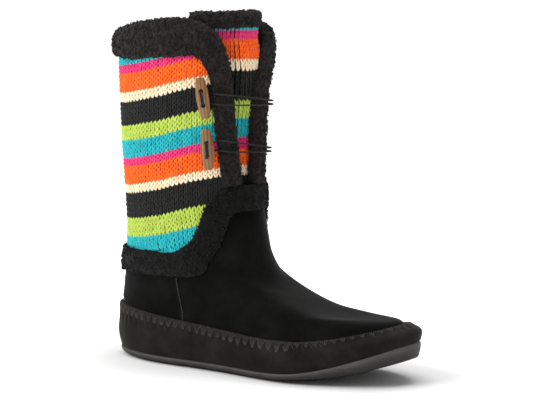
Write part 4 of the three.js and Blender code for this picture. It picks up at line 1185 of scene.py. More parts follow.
def fleece_piece(name, points, seed, slot, nodes, wrap_rows=False, finish=None):
    """A fleece trim: its curly body, and loose curls on it as a second piece."""
    normals = grid_normals(points, wrap_rows, True)
    finish = finish or FLEECE
    raised, lumps = curly(points, normals, LUMP_RANGE, seed)
    if not wrap_rows:
        raised = closed_tube(raised)
        lumps = np.concatenate([lumps[:1] * 0 + 0.3, lumps, lumps[-1:] * 0 + 0.3])
    rows, lines = raised.shape[:2]
    faces = grid_faces(rows, lines, wrap_rows, True)
    # The lumps' heights are kept as curl, for painted shade in the hollows and painted highlight on the tops
    body = piece(name, raised, faces, [finish], attributes={"curl": lumps})
    outward(body)
    dress(body, slot, *nodes)
    curls = grown(body, name + "_curls", CURLS, {
        "Curl": CURL, "Finish": finish, "Density": CURL_DENSITY / MM**2, "Smallest": SMALLEST_CURL,
        "Largest": LARGEST_CURL, "Seed": seed})
    corners = CURL_STEPS * CURL_SIDES
    # The loose curls take random tones among the lighter ones of the lumps' tops: painted highlight, with
    # random tone
    shades = np.random.default_rng(seed).random(len(curls.data.vertices) // corners) * 0.5 + 0.35
    tips = curls.data.attributes.get("curl") or curls.data.attributes.new("curl", "FLOAT", "POINT")
    tips.data.foreach_set("value", np.repeat(shades, corners).astype(np.float32))
    curls.data.shade_smooth()
    dress(curls, slot)
    return body


# Where the collar's fleece hangs lower or stops shorter than its even width. Columns: place round the shaft
# as a share of its girth, and millimetres
COLLAR_SWAYS = ((0.0, 0.0), (0.10, -1.0), (0.17, -1.2), (0.24, 0.2), (0.31, 2.6), (0.37, 1.2), (0.45, -0.8),
                (0.55, 0.6), (0.66, 1.6), (0.78, -0.6), (0.90, 0.4), (1.0, 0.0))


FACE_LINES = 46
SEAT_LINES = 8


def edging_points(path, widths, sizes, crowns, depth, lift):
    """The closed sections of an edging along a path of h and z: its face, and back along its seat. crowns:
    how far it stands beyond the edge, at each point of the path."""
    inward = inward_directions(path)
    rows = []
    for point, direction, width, crown, raised in zip(path, inward, widths, crowns, lift):
        face, seat = edging_profile(width, *sizes, crown)
        section = np.concatenate([even_count(face, FACE_LINES), even_count(seat, SEAT_LINES)])
        place = point + direction * section[:, :1] + [0, raised]
        rows.append(on_shaft(place[:, 0], place[:, 1], section[:, 1] - depth(place[:, 0], place[:, 1])))
    return np.array(rows)


def build_collar_fleece():
    whole_turn = np.array([GIRTH, 0])
    step = 1.15
    rise = even_path(np.stack([OUTER_EDGE[0], OUTER_EDGE[1]]), step)
    fall = even_path(np.stack([INNER_EDGE[1], INNER_EDGE[0]]) + whole_turn, step)
    collar = even_path(collar_path(), step)
    path = np.concatenate([rise[:-1], collar, fall[1:]])
    around = np.arange(len(path), dtype=float)
    from_foot = np.minimum(around, around[::-1])
    above = np.clip((from_foot - len(rise)) / 55, 0, 1)
    sway = np.interp(path[:, 0] / GIRTH, *np.array(COLLAR_SWAYS).T)
    full = collar_edge(path[:, 0]) - COLLAR_HEIGHT + COLLAR_TRIM_DROP + sway
    widths = mix(FRONT_TRIM, full, smooth(above))
    # Both ends stand on the hem's fleece
    standing = np.clip(1 - from_foot / len(rise), 0, 1)
    lift = standing * (HEM_TRIM_WIDTH / 2 + 0.3)
    body, inside = FLEECE_PILE - CURL_ROOM, LINING_PILE - CURL_ROOM / 2
    # The inner flap's fleece is pressed flat at its edge by the gusset
    pressed = smooth((path[:, 0] - (INNER_EDGE[3][0] + GIRTH - 14)) / 14)
    crowns = mix(FLEECE_PILE * 0.95 - CURL_ROOM, 1.3, pressed)
    points = edging_points(path, widths, (body, inside, KNIT_WALL), crowns,
                           lambda h, z: np.zeros(h.shape), lift)
    return fleece_piece("collar_fleece_trim", points, 21, "fleece", ["collar_fleece"])


def build_gusset_fleece():
    reach = GUSSET_HALF_WIDTH - SEAT_GAP
    h = np.linspace(-reach, reach, 78)
    path = np.stack([h, np.full(len(h), float(GUSSET_HEIGHT))], -1)
    widths = np.full(len(h), float(CUFF_HEIGHT))
    depth = gusset_depth(0, GUSSET_HEIGHT)
    body, inside = CUFF_PILE - CURL_ROOM, LINING_PILE - CURL_ROOM / 2
    crowns = np.full(len(path), CUFF_PILE * 0.8 - CURL_ROOM)
    points = edging_points(path, widths, (body, inside, GUSSET_WALL), crowns,
                           lambda h, z: np.full(h.shape, depth), np.zeros(len(path)))
    return fleece_piece("gusset_fleece_cuff", points, 31, "gusset_pile", ["gusset_fleece"])


def build_hem_fleece():
    """The fleece band that covers the join of knit and suede."""
    h = np.linspace(0, GIRTH, 1200)
    path = even_path(np.stack([h, hem_height(h)], -1), 1.15)[:-1]
    slope = hem_slope(path[:, 0])
    length = np.hypot(1, slope)
    up = np.stack([-slope / length, 1 / length], -1)
    shares = np.array([-1, -0.985, -0.9, -0.7, -0.4, 0, 0.4, 0.7, 0.9, 0.985, 1])
    piles = np.array([0.1, 0.45, 0.78, 0.98, 1.08, 1.1, 1.08, 0.98, 0.78, 0.45, 0.1])
    across = np.linspace(0, 10, 24)
    share, pile = np.interp(across, np.arange(11), shares), np.interp(across, np.arange(11), piles)
    share = np.concatenate([share, np.linspace(1, -1, 6)])
    # The lower half keeps its width on the surface where the shaft widens into the foot
    step = HEM_TRIM_WIDTH / 4
    below = path - up * step
    there, here = (on_shaft(at[:, 0], at[:, 1], np.zeros(len(at))) for at in (below, path))
    hold = np.minimum(1, step / np.linalg.norm(there - here, axis=-1))
    reach = share * np.where(share < 0, hold[:, None], 1) * HEM_TRIM_WIDTH / 2
    offset = np.concatenate([FLEECE_SEAT + (HEM_PILE - CURL_ROOM) * pile, np.full(6, FLEECE_SEAT - 0.35)])
    place = path[:, None] + up[:, None] * reach[..., None]
    points = on_shaft(place[..., 0], place[..., 1], offset[None, :] + 0 * place[..., 0])
    return fleece_piece("hem_fleece_band", points, 41, "hem_pile", ["hem_fleece"], wrap_rows=True,
                        finish=HEM_FLEECE)


# Suede foot

def even_arounds(level, count):
    """Places round the last, evenly apart along its line at a level, for one whole turn from the heel."""
    turn = np.linspace(0, 2 * math.pi, 1441)
    lengths = run_lengths(last_point(turn, level))
    return np.interp(np.arange(count) / count * lengths[-1], lengths, turn)


TOOTH_COUNT = 82
TOOTH_DEPTH = 6.2
# Where the five strands of a tooth end along the seam, and their radius
STRAND_ENDS = (-2.9, -1.45, 0.0, 1.45, 2.9)
STRAND_RADIUS = 0.22
TOOTH_AROUND = even_arounds(SEAM_LEVEL, TOOTH_COUNT)

# Creases of the suede. Columns: place round the foot in degrees (180 is the toe), level, half length
# in degrees, half width in levels, depth in millimetres, slant in levels per degree
CREASES = (
    (176, 8.9, 40, 0.34, 0.35, 0.004),
    (186, 8.1, 34, 0.28, 0.25, -0.006),
    (150, 7.4, 22, 0.26, 0.22, 0.018),
    (205, 7.3, 20, 0.26, 0.22, -0.020),
    (128, 8.6, 18, 0.30, 0.22, 0.024),
    (120, 4.3, 16, 0.35, 0.20, 0.010),
    (238, 4.4, 18, 0.35, 0.22, -0.012),
    (20, 5.6, 24, 0.40, 0.25, 0.004),
    (338, 5.2, 20, 0.40, 0.22, -0.006),
)


def suede_relief(around, level):
    """Soft creases, and small gathers where the whipstitch draws the edge in."""
    degrees = np.degrees(np.mod(around, 2 * math.pi))
    relief = np.zeros(np.broadcast(around, level).shape)
    for place, height, half_length, half_width, depth, slant in CREASES:
        aside = (degrees - place + 180) % 360 - 180
        across = (level - height - slant * aside) / half_width
        fade = np.exp(-((aside / half_length) ** 2) * 2)
        valley = np.exp(-across**2 * 2)
        lips = 0.45 * (np.exp(-((across - 1.3) ** 2) * 2) + np.exp(-((across + 1.3) ** 2) * 2))
        relief += depth * fade * (lips - valley)
    phase = tooth_phase(around)
    near = np.exp(-np.maximum(level - SEAM_LEVEL, 0) / 0.35) * (level >= SEAM_LEVEL)
    return relief + 0.35 * near * np.cos(phase) - 0.6 * np.exp(-((level - SEAM_LEVEL) / 0.10) ** 2)


def tooth_phase(around):
    """Turns by one whole cycle per tooth; 0 at each tooth's middle."""
    turn = np.mod(around, 2 * math.pi)
    index = np.interp(turn, np.append(TOOTH_AROUND, 2 * math.pi), np.arange(TOOTH_COUNT + 1))
    return 2 * math.pi * index


def build_suede_upper():
    hs = even_path(np.stack([np.linspace(0, GIRTH, 1200), hem_height(np.linspace(0, GIRTH, 1200))], -1), 1.1)
    around = around_at(hs[:-1, 0])
    top = level_at(around, hem_height(hs[:-1, 0]) - 0.4)
    below = np.linspace(0, SEAM_LEVEL, 5)[:-1]
    shares = np.linspace(0, 1, 70)
    levels = np.concatenate([
        np.broadcast_to(below, (len(around), len(below))),
        SEAM_LEVEL + (top - SEAM_LEVEL)[:, None] * shares[None, :],
    ], 1)
    arounds = np.broadcast_to(around[:, None], levels.shape)
    relief = suede_relief(arounds, levels) * (levels > SEAM_LEVEL - 0.2)
    outside = on_last(arounds, levels, relief)
    inner_levels = levels[:, ::-6]
    inside = on_last(around[:, None], inner_levels, -SUEDE_WALL)
    points = np.concatenate([outside, inside], 1)
    rows, lines = points.shape[:2]
    obj = piece("suede_foot", points, grid_faces(rows, lines, True, True), [SUEDE])
    dress(outward(obj), "suede", "suede_upper")


def build_wrap():
    """The strip from the sole to the seam, puckered between the stitches' holes and rolled at its edge."""
    count = TOOTH_COUNT * 6
    around = even_arounds(SEAM_LEVEL, count)
    # Columns: share of the way up to the seam, thickness as a share of the wall
    lines = smooth_line(np.array([
        (0.0, 0.30), (0.01, 0.75), (0.05, 1.0), (0.25, 1.05), (0.5, 1.05), (0.70, 1.15), (0.83, 1.45),
        (0.93, 1.62), (0.995, 1.35), (1.035, 0.75), (1.03, 0.1),
    ]), 4)
    up = lines[:, 0] * SEAM_LEVEL
    arounds = np.broadcast_to(around[:, None], (count, len(up)))
    levels = np.broadcast_to(up[None, :], arounds.shape)
    phase = tooth_phase(arounds)
    hole_level = SEAM_LEVEL * 0.74
    near_hole = np.exp(-((levels - hole_level) / 0.16) ** 2)
    near_edge = smooth((levels - 1.35) / 0.5)
    pucker = -0.45 * near_hole * (0.5 + 0.5 * np.cos(phase)) ** 3 - 0.40 * near_edge * np.cos(phase)
    # Slow waves where the strip is eased round heel and toe
    easing = 0.18 * np.sin(around * 11)[:, None] * np.sin(math.pi * np.clip(levels / 1.6, 0, 1))
    offset = SEAT_GAP + WRAP_WALL * lines[None, :, 1] + pucker + easing
    outside = on_last(arounds, levels, offset)
    inner_up = np.linspace(1.02, 0, 8) * SEAM_LEVEL
    inside = on_last(around[:, None], inner_up[None, :], SEAT_GAP * 0.5)
    points = np.concatenate([outside, inside], 1)
    points[..., 2] = np.maximum(points[..., 2], sole_top_at(points[..., 0]) + 0.15)
    rows, width = points.shape[:2]
    obj = piece("suede_wrap_strip", points, grid_faces(rows, width, True, True), [WRAP_SUEDE])
    dress(outward(obj), "suede_wrap", "moccasin_wrap")


def tube_along(line, radius, sides, capped=True):
    """Closed sections round a line, carried along without twist."""
    tangent = unit(np.gradient(line, axis=0))
    side = unit(np.cross(tangent[0], [0.31, 0.27, 0.91]))
    rings = []
    spokes = np.linspace(0, 2 * math.pi, sides, endpoint=False)
    radii = np.broadcast_to(radius, (len(line),))
    for point, direction, r in zip(line, tangent, radii):
        side = unit(side - direction * (side @ direction))
        other = np.cross(direction, side)
        rings.append(point + r * (np.cos(spokes)[:, None] * side + np.sin(spokes)[:, None] * other))
    return closed_tube(np.array(rings), capped)


def cord_piece(name, line, radius, sides, finish):
    points = tube_along(line, radius, sides)
    obj = piece(name, points, grid_faces(len(points), sides, wrap_lines=True), [finish])
    return outward(obj)


def whipstitch_tooth():
    """One tooth of the seam: five strands that fan out from a hole in the wrap and go over its rolled edge
    into the suede. Millimetres: across along the seam, up, out."""
    strands = []
    for spread in STRAND_ENDS:
        start = spread * 0.3
        line = np.array([
            (start * 0.6, -TOOTH_DEPTH, -0.5),
            (start, -TOOTH_DEPTH + 0.9, 0.75),
            (mix(start, spread, 0.4), -TOOTH_DEPTH * 0.52, 1.25),
            (mix(start, spread, 0.85), -TOOTH_DEPTH * 0.12, 1.40),
            (spread, TOOTH_DEPTH * 0.10, 0.75),
            (spread * 1.02, TOOTH_DEPTH * 0.20, -0.6),
        ])
        strands.append(tube_along(smooth_line(line, 2), STRAND_RADIUS, 5))
    rows, sides = strands[0].shape[:2]
    faces = np.concatenate([
        grid_faces(rows, sides, wrap_lines=True) + k * rows * sides for k in range(len(strands))])
    return hidden_shape("whipstitch_tooth", np.array(strands), faces.tolist())


def build_whipstitch():
    tooth = whipstitch_tooth()
    around = TOOTH_AROUND
    level = np.full(len(around), float(SEAM_LEVEL))
    out = last_normal(around, level)
    centre = on_last(around, level, SEAT_GAP + WRAP_WALL * 0.9)
    across = unit(last_point(around + 0.02, level) - last_point(around - 0.02, level))
    up = unit(np.cross(out, across))
    random = np.random.default_rng(51)
    wide, high = (1 + spread * random.standard_normal(len(around)) for spread in (0.08, 0.06))
    sizes = np.stack([wide, high, np.ones(len(around))], -1) * MM
    made = repeated("whipstitch_thread", tooth, STITCHING, centre, across, up, out, sizes,
                    np.full(len(around), 0.5))
    dress(outward(made), "sewing_thread")


# Two side seams of the foot. Columns: place round the foot in degrees at the wrap, and at the hem
SIDE_SEAMS = ((62.5, 84.5), (297.5, 275.5))
# From one running stitch to the next, in millimetres
RUNNING_STITCH = 2.6


def build_side_seams():
    """A row of short running stitches down each side of the foot, beside a low felled edge."""
    lines = []
    for foot_degrees, top_degrees in SIDE_SEAMS:
        level = np.linspace(SEAM_LEVEL + 0.12, 7.2, 26)
        share = (level - level[0]) / (level[-1] - level[0])
        around = np.radians(mix(foot_degrees, top_degrees, share**1.5))
        middle = on_last(around, level, 0.05)
        keep = middle[:, 2] < HEM_SIDE_HEIGHT - HEM_TRIM_WIDTH / 2 + 3
        lines.append((around[keep], level[keep]))
    centres, across, ups, outs = [], [], [], []
    for around, level in lines:
        line = on_last(around, level, 0.32)
        normal = last_normal(around, level)
        along = unit(np.gradient(line, axis=0))
        line = line + unit(np.cross(along, normal)) * 0.8
        joined = np.concatenate([line, normal, along], 1)
        lengths = run_lengths(line)
        at = np.arange(1.0, lengths[-1], RUNNING_STITCH)
        read = np.stack([np.interp(at, lengths, joined[:, k]) for k in range(9)], -1)
        centres.append(read[:, :3])
        outs.append(unit(read[:, 3:6]))
        ups.append(unit(read[:, 6:9]))
        across.append(unit(np.cross(ups[-1], outs[-1])))
    stitch = smooth_line(np.array([(0, -0.95, -0.35), (0, -0.6, 0.12), (0, 0.6, 0.12), (0, 0.95, -0.35)]), 2)
    points = tube_along(stitch, 0.3, 6)
    shape = hidden_shape("running_stitch", points, grid_faces(len(points), 6, wrap_lines=True).tolist())
    centres = np.concatenate(centres)
    made = repeated("side_seam_stitches", shape, STITCHING, centres, np.concatenate(across),
                    np.concatenate(ups), np.concatenate(outs), np.full((len(centres), 3), MM),
                    np.full(len(centres), 0.5))
    dress(outward(made), "sewing_thread")
    ridges = []
    for around, level in lines:
        ridges.append(tube_along(even_path(on_last(around, level), 1.5), 0.34, 6))
    for index, points in enumerate(ridges):
        faces = grid_faces(len(points), 6, wrap_lines=True)
        obj = piece(f"side_seam_edge_{index + 1}", points, faces, [SUEDE])
        dress(outward(obj), "suede")


# Soles

def plan_point(around, grow):
    point = last_point(around, 0)
    along = last_point(around + 0.02, 0) - last_point(around - 0.02, 0)
    sideways = unit(np.stack([along[..., 1], -along[..., 0], 0 * along[..., 0]], -1))
    return point + sideways * np.asarray(grow, float)[..., None]


def under_at(x):
    start = HEEL_PAD_X + 4 * BAR_PITCH
    share = np.clip((x - start) / (SPRING_START - 5 * BAR_PITCH - start), 0, 1)
    return TREAD_DEPTH + ARCH_LIFT * np.sin(math.pi * share) ** 2 + spring_at(x)


def plate(name, edge_lines, stations, across, finish, shades=None):
    """A plate under the foot. edge_lines: rows of grow and height function down its side. The top and bottom
    run straight across between the sides. shades: one for each row, kept as the attribute shade; on the
    outsole they are painted shade, dark towards the bottom."""
    around = (1 - np.cos(np.linspace(0, math.pi, stations))) / 2 * math.pi
    shares = np.linspace(0, 1, across)[1:-1]

    def side(sign):
        lines = []
        for grow, height in edge_lines:
            line = plan_point(sign * around, grow)
            line[:, 2] = height(line[:, 0])
            lines.append(line)
        return np.stack(lines, 1)

    outer, inner = side(1), side(-1)

    def cross(k):
        height = edge_lines[k][1]
        line = mix(outer[:, k, None], inner[:, k, None], shares[None, :, None])
        line[..., 2] = height(line[..., 0])
        return line

    points = np.concatenate([outer, cross(-1), inner[:, ::-1], cross(0)[:, ::-1]], 1)
    rows, lines = points.shape[:2]
    attributes = {}
    if shades is not None:
        down, flat = np.array(shades, float), np.ones(across - 2)
        section = np.concatenate([down, flat * down[-1], down[::-1], flat * down[0]])
        attributes["shade"] = np.broadcast_to(section, (rows, lines))
    obj = piece(name, points, grid_faces(rows, lines, wrap_lines=True), [finish], attributes=attributes)
    return outward(obj)


def side_height(share):
    return lambda x: mix(under_at(x), sole_top_at(x), share)


def build_outsole():
    """The sole's side: a soft lip at the top, a shallow waist and a rounded lower corner."""
    # The last tuple is the rows' shade, light at the top and dark at the bottom: painted shade
    body = plate("outsole_body", [
        (SOLE_EDGE - 1.1, side_height(1.0)), (SOLE_EDGE - 0.45, side_height(0.985)),
        (SOLE_EDGE - 0.1, side_height(0.9)), (SOLE_EDGE, side_height(0.78)),
        (SOLE_EDGE - 0.12, side_height(0.62)), (SOLE_EDGE - 0.35, side_height(0.46)),
        (SOLE_EDGE - SOLE_BEVEL * 0.38, side_height(0.30)), (SOLE_EDGE - SOLE_BEVEL * 0.6, side_height(0.14)),
        (SOLE_EDGE - SOLE_BEVEL * 0.85, side_height(0.03)), (SOLE_EDGE - SOLE_BEVEL - 0.4, side_height(0.0)),
    ], 220, 26, RUBBER, (0.9, 1, 1, 0.95, 0.7, 0.45, 0.25, 0.1, 0, 0))
    shape = bmesh.new()
    probe = np.linspace(0.02, math.pi - 0.02, 400)
    outline = {sign: plan_point(sign * probe, SOLE_EDGE - SOLE_BEVEL) for sign in (1, -1)}

    def bar(x, length, low, high):
        if high - low < BAR_WIDTH:
            return
        made = bmesh.ops.create_cube(shape, size=1.0)["verts"]
        for vert in made:
            px = x + vert.co.x * length
            pz = spring_at(px) + (0 if vert.co.z < 0 else 2 * TREAD_DEPTH)
            vert.co = Vector((px, mix(low, high, vert.co.y + 0.5), pz))

    zones = ((HEEL_PAD_X - 2.5 * BAR_PITCH, HEEL_PAD_X + 3.5 * BAR_PITCH, HEEL_PAD_X),
             (SPRING_START - 5 * BAR_PITCH, SOLE_LENGTH - 3 * BAR_PITCH, SPRING_START - 1.5 * BAR_PITCH))
    for first, last, pad in zones:
        bar(pad, PAD_LENGTH, -PAD_WIDTH / 2, PAD_WIDTH / 2)
        x = first
        while x <= last:
            outer = outline[1][np.abs(outline[1][:, 0] - x).argmin(), 1] + TREAD_MARGIN
            inner = outline[-1][np.abs(outline[-1][:, 0] - x).argmin(), 1] - TREAD_MARGIN
            if abs(x - pad) < (PAD_LENGTH + BAR_WIDTH) / 2 + 1:
                bar(x, BAR_WIDTH, outer, -PAD_WIDTH / 2 - 2)
                bar(x, BAR_WIDTH, PAD_WIDTH / 2 + 2, inner)
            else:
                bar(x, BAR_WIDTH, outer, inner)
            x += BAR_PITCH
    edges = [e for e in shape.edges if max(v.co.z - spring_at(v.co.x) for v in e.verts) < 0.5 * TREAD_DEPTH]
    bmesh.ops.bevel(shape, geom=edges, offset=0.6, segments=2, affect="EDGES", profile=0.5)
    mesh = bpy.data.meshes.new("tread_bars")
    shape.to_mesh(mesh)
    shape.free()
    mesh.transform(Matrix.Translation((-HEEL_PAD_X * MM, 0, 0)) @ Matrix.Scale(MM, 4))
    mesh.materials.append(RUBBER)
    bars = bpy.data.objects.new("tread_bars", mesh)
    bpy.context.scene.collection.objects.link(bars)
    dress(body, "sole_rubber", "outsole")
    dress(bars, "sole_rubber")


def build_insole():
    def above(lift):
        return lambda x: sole_top_at(x) + SEAT_GAP + lift

    edge = -SUEDE_WALL - SEAT_GAP
    obj = plate("felt_insole", [
        (edge - 1.8, above(INSOLE_THICKNESS)), (edge - 0.9, above(INSOLE_THICKNESS * 0.92)),
        (edge - 0.2, above(INSOLE_THICKNESS * 0.7)), (edge, above(INSOLE_THICKNESS * 0.3)), (edge, above(0)),
    ], 120, 22, FELT)
    dress(obj, "insole_felt", "insole")


# Lining

# How far the pile's face and back lie inside the wall, and how far its lumps rise and fall
LINING_FACE = 0.9
LINING_BACK = 0.15
LINING_LUMPS = 1.0


def lining_sheet(name, around, levels, wall, ring):
    """Pile on the inner side of a wall."""
    arounds = np.broadcast_to(around[:, None], levels.shape)
    face = on_last(arounds, levels, -wall - LINING_FACE)
    raised, lumps = curly(face, -last_normal(arounds, levels), LINING_LUMPS, 61)
    back = on_last(arounds, levels, -wall - LINING_BACK)[:, ::-1]
    # The pile's lumps, and its back at 0, as curl: painted shade in the hollows
    shades = np.concatenate([lumps, lumps * 0], 1)
    made = sheet(name, np.concatenate([raised, back], 1), [FLEECE], attributes={"curl": shades}, ring=ring)
    dress(made, "fleece")


def build_lining():
    """Fleece pile on the inside, from under the collar's fold down to the insole."""
    reach = GUSSET_HALF_WIDTH + 3
    h = np.linspace(reach, GIRTH - reach, 100)
    around = around_at(h)
    low = level_at(around, hem_height(h))
    top = level_at(around, collar_edge(h) - LINING_DEPTH - 1)
    levels = mix(low[:, None], top[:, None], np.linspace(0, 1, 62))
    lining_sheet("shaft_lining", around, levels, KNIT_WALL, False)
    h = np.arange(130) / 130 * GIRTH
    around = around_at(h)
    top = level_at(around, hem_height(h) - 6)
    levels = mix(0.45, top[:, None], np.linspace(0, 1, 54))
    lining_sheet("foot_lining", around, levels, SUEDE_WALL, True)


# Toggles and elastic

# Columns: name, place beside the fleece, height as a share of the collar's, lean in degrees, and the loop's
# rise and fall as shares of the toggle's length
TOGGLES = (
    ("upper", 1.03, 0.792, 9.5, 0, 0.17),
    ("lower", 1.08, 0.646, 4, 0.12, 0.22),
)


def toggle_place(beside, height):
    z = height * COLLAR_HEIGHT
    return edge_at(OUTER_EDGE, z) + beside * (FRONT_TRIM + TOGGLE_WIDTH / 2), z


def toggle_frame(h, z, lean):
    """The toggle's directions across, along and out, and its middle on the knit."""
    centre = on_shaft(h, z, 0)
    outward_direction = unit(on_shaft(h, z, 1) - centre)
    up = unit(on_shaft(h, z + 2, 0) - centre)
    angle = math.radians(lean)
    along = up * math.cos(angle) + np.cross(outward_direction, up) * math.sin(angle)
    along = along + outward_direction * (outward_direction @ along) * (1 - math.cos(angle))
    across = unit(np.cross(along, outward_direction))
    return across, along, unit(np.cross(across, along)), centre


def in_frame(points, across, along, out, centre):
    return points[..., :1] * across + points[..., 1:2] * along + points[..., 2:3] * out + centre


def build_toggle(name, beside, height, lean):
    """A turned wooden bar with flat-cut ends, a little flattened, with two holes joined by a groove."""
    h, z = toggle_place(beside, height)
    axes = toggle_frame(h, z, lean)
    ends = TOGGLE_END_WIDTH / TOGGLE_WIDTH
    t = np.linspace(-1, 1, 29)
    radius = TOGGLE_WIDTH / 2 * mix(1, ends, np.abs(t) ** 1.7)
    y = TOGGLE_LENGTH / 2 * t
    # The ends' edges are sanded round by half a millimetre
    y = np.concatenate([[y[0], y[0], y[0] + 0.15], y[1:-1], [y[-1] - 0.15, y[-1], y[-1]]])
    end = radius[0]
    radius = np.concatenate([[0.0, end - 0.5, end - 0.15], radius[1:-1], [end - 0.15, end - 0.5, 0.0]])
    spokes = np.linspace(0, 2 * math.pi, 36, endpoint=False)
    points = np.stack([radius[:, None] * np.cos(spokes), y[:, None] + 0 * spokes,
                       radius[:, None] * np.sin(spokes) * TOGGLE_THICKNESS / TOGGLE_WIDTH], -1)
    obj = outward(piece(f"wooden_toggle_{name}", points + [HEEL_PAD_X, 0, 0],
                        grid_faces(len(points), 36, wrap_lines=True), [WOOD]))
    cutters = []
    for end in (-1, 1):
        line = np.array([(0, end * TOGGLE_HOLE_SPACING / 2, -8), (0, end * TOGGLE_HOLE_SPACING / 2, 8.0)])
        cutters.append(cord_piece("hole", line + [HEEL_PAD_X, 0, 0], TOGGLE_HOLE * 0.58, 24, WOOD))
    groove = np.array([(0, -TOGGLE_HOLE_SPACING / 2, 0), (0, TOGGLE_HOLE_SPACING / 2, 0.0)])
    groove = groove + [HEEL_PAD_X, 0, TOGGLE_THICKNESS / 2 + TOGGLE_HOLE / 8]
    cutters.append(cord_piece("groove", groove, TOGGLE_HOLE * 0.36, 24, WOOD))
    for cutter in cutters:
        cut = obj.modifiers.new("cut", "BOOLEAN")
        cut.operation, cut.solver, cut.object = "DIFFERENCE", "EXACT", cutter
    bevel = obj.modifiers.new("sanded", "BEVEL")
    bevel.width, bevel.segments, bevel.limit_method, bevel.angle_limit = 0.00022, 2, "ANGLE", math.radians(38)
    made = plain_mesh(obj, f"wooden_toggle_{name}")
    for cutter in cutters:
        bpy.data.objects.remove(cutter)
    local = np.empty(len(made.data.vertices) * 3, np.float32)
    made.data.vertices.foreach_get("co", local)
    local = local.reshape(-1, 3) / MM
    grain = made.data.attributes.new("grain", "FLOAT_VECTOR", "POINT")
    grain.data.foreach_set("vector", (local + (0 if name == "upper" else 40)).astype(np.float32).ravel())
    lifted = local + [0, 0, TOGGLE_LIFT + TOGGLE_THICKNESS / 2]
    placed = (in_frame(lifted, *axes) - [HEEL_PAD_X, 0, 0]) * MM
    made.data.vertices.foreach_set("co", placed.astype(np.float32).ravel())
    made.data.update()
    made.data.shade_smooth()
    made.data.set_sharp_from_angle(angle=math.radians(40))
    dress(made, "toggle_wood", f"toggle_{name}")

    apart, top = TOGGLE_HOLE_SPACING / 2, TOGGLE_LIFT + TOGGLE_THICKNESS
    half = [(apart, SEAT_GAP), (apart, top * 0.5), (apart, top - 1.3), (apart - 0.35, top - 0.15),
            (apart - 1.2, top + 0.4)]
    line = [(0, -y, w) for y, w in half] + [(0, 0, top + 0.45)] + [(0, y, w) for y, w in reversed(half)]
    strand = smooth_line(np.array(line, float), 8)
    # Three strands of black cord: the real sewing thread, laid thick enough to fill the holes with black,
    # partly painted shade in them
    for index, aside in enumerate((-0.75, 0.0, 0.75)):
        placed = in_frame(strand + [aside, 0, 0], *axes)
        cord = cord_piece(f"toggle_cord_{name}_{index + 1}", placed, THREAD_DIAMETER * 0.27, 10, CORD_BLACK)
        dress(cord, "sewing_thread", *([f"toggle_thread_{name}"] if index == 0 else []))


def build_loop(name, beside, height, rise, fall):
    """An elastic loop from the inner flap's fleece across the opening, round behind a toggle and back."""
    toggle_h, z = toggle_place(beside, height)
    over = FLEECE_PILE * 1.1 + LUMP_HEIGHT + FLEECE_SEAT + LOOP_DIAMETER / 2 + SEAT_GAP + LOOP_LIFT
    outer, inner = edge_at(OUTER_EDGE, z), edge_at(INNER_EDGE, z)
    trim_end, below = outer + FRONT_TRIM, TOGGLE_LIFT / 2 + 0.3
    # Columns: distance round the shaft, share of half the loop's spread, height over the knit
    route = [
        (inner - FRONT_TRIM - 4, 0.25, SEAT_GAP + LOOP_DIAMETER),
        (inner - FRONT_TRIM - 1.8, 0.3, over * 0.65),
        (inner - FRONT_TRIM * 0.7, 0.4, over),
        (inner - FRONT_TRIM * 0.1, 0.55, over),
        (mix(inner, outer, 0.5), 0.75, over - 1),
        (outer + FRONT_TRIM * 0.1, 0.95, over),
        (trim_end - 6, 1, over),
        (trim_end - 2.6, 1, over * 0.78),
        (trim_end - 0.6, 0.95, over * 0.5),
        (trim_end + 1.2, 0.85, below + 0.5),
        (toggle_h, 0.6, below),
    ]

    def place(stop, side):
        away = (toggle_h - stop[0]) / (toggle_h - route[0][0])
        middle = z + TOGGLE_LENGTH * (rise * smooth(away / 0.15) - fall * away)
        return on_shaft(stop[0], middle + side * stop[1] * LOOP_SPREAD / 2, stop[2])

    turn = place((toggle_h + 2.5, 0, below), 0)
    line = [place(stop, 1) for stop in route] + [turn] + [place(stop, -1) for stop in reversed(route)]
    cord = cord_piece(f"elastic_{name}", smooth_line(np.array(line), 8), LOOP_DIAMETER * 0.4, 10, ELASTIC)
    dress(cord, "elastic", f"elastic_loop_{name}")


# Camera, light and floor

WORLD_LIGHT = 0.5
FLOOR_GLOW = 0.64
# The oval round the sole where the floor doesn't glow: half sizes of about 150 and 70 mm
FLOOR_OVAL_SCALE = (6.6, 14.0, 1.0)
FLOOR_OVAL_PLACE = (-0.63, 0.0, 0.0)


# The camera: direction to it in degrees, its target and distance in metres, pixels a millimetre at the
# target, the frame in pixels and where the target lies in it
CAMERA_AZIMUTH = 34
CAMERA_ELEVATION = 6.8
CAMERA_TARGET = (0.060, 0, 0.120)
CAMERA_DISTANCE = 1.4
PIXELS_PER_MM = 1.32
FRAME_SIZE = (534, 400)
TARGET_PIXEL = (225.6, 206)
SENSOR_WIDTH = 36

# Soft lamps. Columns: name, metres from the target towards the camera, to its right and up, side in metres,
# watts
LAMPS = (
    ("key", 0.7, -1.2, 1.0, 1.0, 22),
    ("overhead", -0.1, 0.1, 1.5, 1.4, 20),
    ("fill", 1.1, 1.4, 0.3, 1.2, 2),
)


